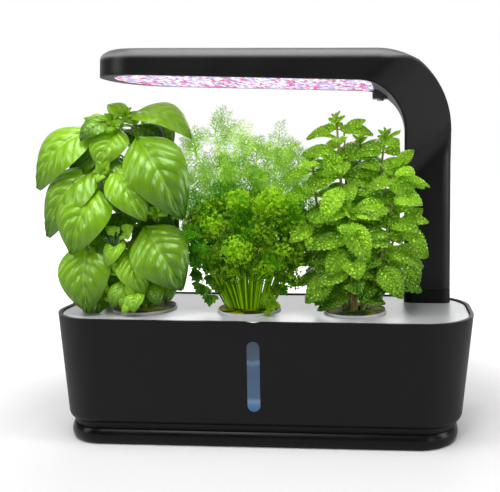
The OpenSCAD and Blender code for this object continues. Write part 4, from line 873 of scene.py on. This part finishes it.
def frill(plant, centre, size, face, dice, shade):
    """One curled leaflet: a small round sheet whose edge is gathered into tight waves."""
    face = Vector(face).normalized()
    first = face.cross(Vector((0.2, 0.3, 1))).normalized()
    second = face.cross(first)
    waves, start = dice.choice((3, 4, 5)), dice.uniform(0, 6)
    count, rings = 11, (0.0, 0.5, 1.0)
    sheet = []
    for r in rings:
        row = []
        for k in range(count):
            a = 2 * math.pi * k / count
            ripple = math.sin(waves * a + start)
            reach = size * r * (1 + 0.35 * math.sin(waves * a + start + 1.5) * r)
            point = centre + (first * math.cos(a) + second * math.sin(a)) * reach
            point += face * (size * (0.6 * ripple * r * r + 0.3 * r))
            row.append((point, (0.5 + 0.5 * r * math.cos(a), 0.5 + 0.5 * r * math.sin(a))))
        sheet.append(row)
    plant.grid(sheet, shade, 0, closed=True)


def head(plant, centre, radius, count, dice, shade):
    """A curly leaf: fine stalks fan out from its middle to curled leaflets, painted palest at the rim and
    where they face up, darker deeper in: painted light and shade.
    """
    centre = Vector(centre)
    for k in range(count):
        out = Vector((dice.gauss(0, 1), -abs(dice.gauss(0, 0.8)), dice.gauss(0.15, 1))).normalized()
        depth = dice.uniform(0.45, 1.0)
        place = centre + Vector((out.x, out.y * 0.7, out.z)) * radius * depth
        if k % 3 == 0:
            stalk(plant, [centre, place], 0.35, 0.3, sides=4, shade=0.9)
        # painted light and shade: paler where the leaflet faces up and at the rim, darker deeper in
        tone = shade + 0.2 * out.z + 0.9 * (depth - 0.85) + dice.uniform(-0.12, 0.12)
        frill(plant, place, 1.1 * dice.uniform(0.7, 1.2), out + TO_VIEWER * 0.3, dice, clamp(tone))


def lobed_leaf(plant, base, tip, dice, shade):
    """A flat parsley leaf: stalked groups of toothed lobes, each group spread like a hand's fingers."""
    base, tip = Vector(base), Vector(tip)
    along = tip - base
    across = along.cross(TO_VIEWER).normalized() * along.length
    stalk(plant, [base, base + along * 0.7], 0.45, sides=4)
    for share, side in ((0.25, -0.4), (0.35, 0.4), (0.62, 0.0)):
        middle = base + along * share + across * side * 0.5
        stalk(plant, [base + along * share * 0.8, middle], 0.35, sides=4)
        for turn in (-1.2, -0.6, 0.0, 0.6, 1.2):
            turned = turn + side
            heading = along * math.cos(turned) + across * math.sin(turned)
            end = middle + heading * dice.uniform(0.3, 0.42) * (1 - 0.2 * abs(turn))
            blade(plant, middle, end, (end - middle).length * 0.6, TO_VIEWER + UP * 0.3, teeth=3, tooth=0.5,
                  arch=0.08, veins=3, half=4, belly=0.6, shade=clamp(shade + dice.uniform(0, 0.15)))


def frond(plant, base, direction, length, dice, shade, thick):
    """A feathery frond: a thin rib with pairs of side ribs in one plane, each with pairs of threads."""
    pairs = 5
    direction = direction.normalized()
    plane = direction.cross(Vector((dice.uniform(-0.6, 0.6), -1, dice.uniform(-0.6, 0.6)))).normalized()
    sag = Vector((0, 0, -0.25 * length * abs(direction.x)))
    rib = curve(base, base + direction * length * 0.55, base + direction * length + sag, pairs)
    stalk(plant, rib, thick, thick * 0.6, sides=3, shade=shade, slot=2)
    for k in range(1, pairs + 1):
        share = k / pairs
        for side in (-1, 1):
            heading = (direction * dice.uniform(0.7, 1.0) + plane * side).normalized()
            reach = length * (0.62 - 0.34 * share) * dice.uniform(0.8, 1.15)
            branch = curve(rib[k], rib[k] + heading * reach * 0.5, rib[k] + heading * reach + sag * 0.3, 3)
            tone = clamp(shade + dice.uniform(-0.2, 0.2))
            stalk(plant, branch, thick * 0.7, thick * 0.45, sides=3, shade=tone, slot=2)
            across = heading.cross(Vector((0, -1, 0))).normalized()
            for j in (1, 2):
                for turn in (-1, 1):
                    end = branch[j] + (heading + across * turn * dice.uniform(0.5, 1.0)) * reach * 0.38
                    end += Vector((0, dice.uniform(-1.5, 1.5), dice.uniform(-0.8, 0.8)))
                    stalk(plant, [branch[j], end], thick * 0.5, thick * 0.35, sides=3, shade=tone, slot=2)


def grow_parsley():
    """A fan of pale stems under a dense mass of curled leaflets and threads, brighter heads in front."""
    plant = Growth("parsley_leaves")
    dice = random.Random(3)
    root = pod_centre("label_middle")
    stem_count, leaflet_count, frond_count = 160, 4600, 150
    for k in range(stem_count):
        turn = dice.uniform(0, 2 * math.pi)
        spread = dice.uniform(0.1, 1.0) ** 0.6
        foot = root + Vector((math.cos(turn) * 15 * spread, math.sin(turn) * 6 * spread, -7))
        height = dice.uniform(34, 56)
        top = root + Vector((math.cos(turn) * 46 * spread, math.sin(turn) * 14 * spread - 4, height))
        middle = (foot + top) / 2 + Vector((dice.uniform(-2, 2), 0, 2))
        thick = dice.uniform(0.5, 0.85)
        stalk(plant, curve(foot, middle, top, 7), thick, 0.45, sides=5, shade=dice.random())
    # the dense mass, rounded off above and below towards its sides
    left, right, front, back = -49, 44, -20, 12
    for k in range(leaflet_count):
        x = dice.uniform(left, right)
        depth = dice.uniform(front, back)
        low = 24 + 0.006 * x * x
        high = 92 - 0.009 * x * x
        z = dice.uniform(low, high)
        face = Vector((x * 0.03, depth * 0.05 - 0.5, (z - 60) * 0.02 + dice.uniform(-0.5, 0.7)))
        # painted light and shade: the leaflets are paler high in the mass and darker further back
        shade = 0.04 + 0.36 * (z - low) / (high - low) + dice.uniform(-0.2, 0.3) - depth * 0.014
        frill(plant, root + Vector((x, depth, z)), dice.uniform(0.9, 2.0), face, dice, clamp(shade))
    for k in range(frond_count):
        x, z = dice.uniform(-50, 40), dice.uniform(36, 96)
        start = root + Vector((x * 0.8, dice.uniform(-22, 4), z - 8))
        aside = x * 0.02 + dice.uniform(-0.5, 0.5)
        heading = Vector((aside, dice.uniform(-0.3, 0.1), dice.uniform(0.2, 1)))
        frond(plant, start, heading, dice.uniform(10, 17), dice, dice.uniform(0.0, 0.5), 0.34)
    # curly leaves in front: centre, radius, number of leaflets before crowding, shade
    crowding = 1.4
    heads = [
        ((-18, -28, 178), 11, 130, 0.9), ((8, -30, 179), 13, 190, 0.9), ((-38, -28, 162), 10, 100, 0.85),
        ((-18, -34, 143), 12, 150, 0.85), ((-2, -28, 174), 9, 70, 0.8), ((20, -26, 173), 9, 80, 0.85),
        ((-50, -18, 140), 6, 40, 0.9), ((16, -28, 140), 9, 70, 0.6), ((24, -24, 120), 8, 60, 0.4),
        ((-34, -26, 138), 8, 60, 0.45), ((0, -32, 156), 8, 50, 0.45), ((2, -30, 126), 9, 60, 0.45),
        ((-24, -28, 124), 9, 60, 0.4), ((26, -24, 156), 9, 70, 0.6),
    ]
    for centre, radius, count, shade in heads:
        head(plant, centre, radius, int(crowding * count), dice, shade)
        neck = Vector(centre) + Vector((0, 6, -6))
        stalk(plant, curve(root + UP * 30, (centre[0] * 0.6 - 5, -14, 135), neck, 7), 0.8, 0.6, sides=5)
    # flat leaves: base, tip, shade
    flat = [
        ((-44, -14, 128), (-53, -22, 106), 0.1), ((-41, -16, 120), (-42, -24, 98), 0.15),
        ((-46, -12, 134), (-58, -16, 118), 0.1), ((-2, -26, 102), (13, -36, 101), 0.35),
        ((4, -28, 98), (10, -38, 112), 0.3), ((14, -18, 130), (24, -28, 116), 0.15),
        ((18, -14, 142), (30, -22, 130), 0.2), ((8, -16, 122), (18, -26, 108), 0.1),
    ]
    for base, tip, shade in flat:
        lobed_leaf(plant, base, tip, dice, shade)
    leaf = leaf_material("parsley_leaf", (0.008, 0.13, 0.002), (0.58, 1.0, 0.035), (0.4, 0.8, 0.05),
                         veins=4.0, roughness=0.42, pale=0.1, gloss=0.3, painted_tip_shade=0.0, glow=0.4)
    stem = thread_material("parsley_stem", (0.04, 0.16, 0.002), (0.48, 0.8, 0.012), 0.2)
    thread = thread_material("parsley_thread", (0.012, 0.18, 0.003), (0.34, 0.9, 0.04), 0.2)
    plant.build([leaf, stem, thread], "parsley_plant", "pod_middle")


def grow_dill():
    """Pale threads in fans at the top, closing to a soft blue-green cloud behind the parsley."""
    plant = Growth("dill_fronds")
    dice = random.Random(8)
    root = pod_centre("label_middle") + Vector((0, 10, 0))
    # the top of each plume, how wide it spreads and how many fronds it carries
    plumes = [
        ((-46, 4, 246), 1.0, 9), ((-30, 2, 236), 1.1, 9), ((-60, 2, 228), 1.0, 9), ((6, 2, 232), 1.0, 9),
        ((22, 4, 222), 1.0, 10), ((-12, 4, 222), 1.0, 12), ((-44, 0, 214), 1.0, 18),
        ((-24, -2, 212), 1.1, 18), ((4, 0, 212), 1.1, 18), ((26, 2, 206), 0.9, 14),
        ((-62, 2, 200), 0.9, 14), ((-40, -4, 196), 1.2, 22), ((-14, -4, 200), 1.2, 22),
        ((14, -2, 196), 1.1, 20), ((-60, 0, 180), 1.0, 16), ((-50, -4, 168), 1.1, 18),
        ((28, -2, 184), 1.0, 18), ((-30, -4, 182), 1.2, 18), ((6, -4, 186), 1.2, 18),
    ]
    pale_from, pale_full = 180, 240
    for top, spread, count in plumes:
        top = Vector(top)
        pale = clamp((top.z - pale_from) / (pale_full - pale_from))
        stem = curve(root + UP * -6, (root.x + (top.x - root.x) * 0.45, 8, 155), top - UP * 12, 12)
        stalk(plant, stem, 0.8, 0.4, sides=5, shade=0.6 + 0.4 * pale, slot=2)
        for k in range(count):
            heading = Vector((dice.gauss(0, 1.2 * spread), dice.uniform(-0.5, 0.3), dice.uniform(0.1, 0.9)))
            start = top - UP * dice.uniform(8, 20)
            shade = 0.25 + 0.45 * pale + dice.uniform(-0.2, 0.3)
            frond(plant, start, heading, dice.uniform(12, 20 + 4 * pale), dice, shade, 0.38)
    thread = thread_material("dill_thread", (0.06, 0.32, 0.025), (0.72, 0.98, 0.14), 0.34)
    plant.press(Z_AXIS, limit=225, share=0.88)
    plant.build([thread, thread, thread], "dill_plant", "pod_middle")


make_camera()
make_world()
make_floor()
make_lights()
dress_frame()
grow_basil()
grow_parsley()
grow_dill()
grow_mint()
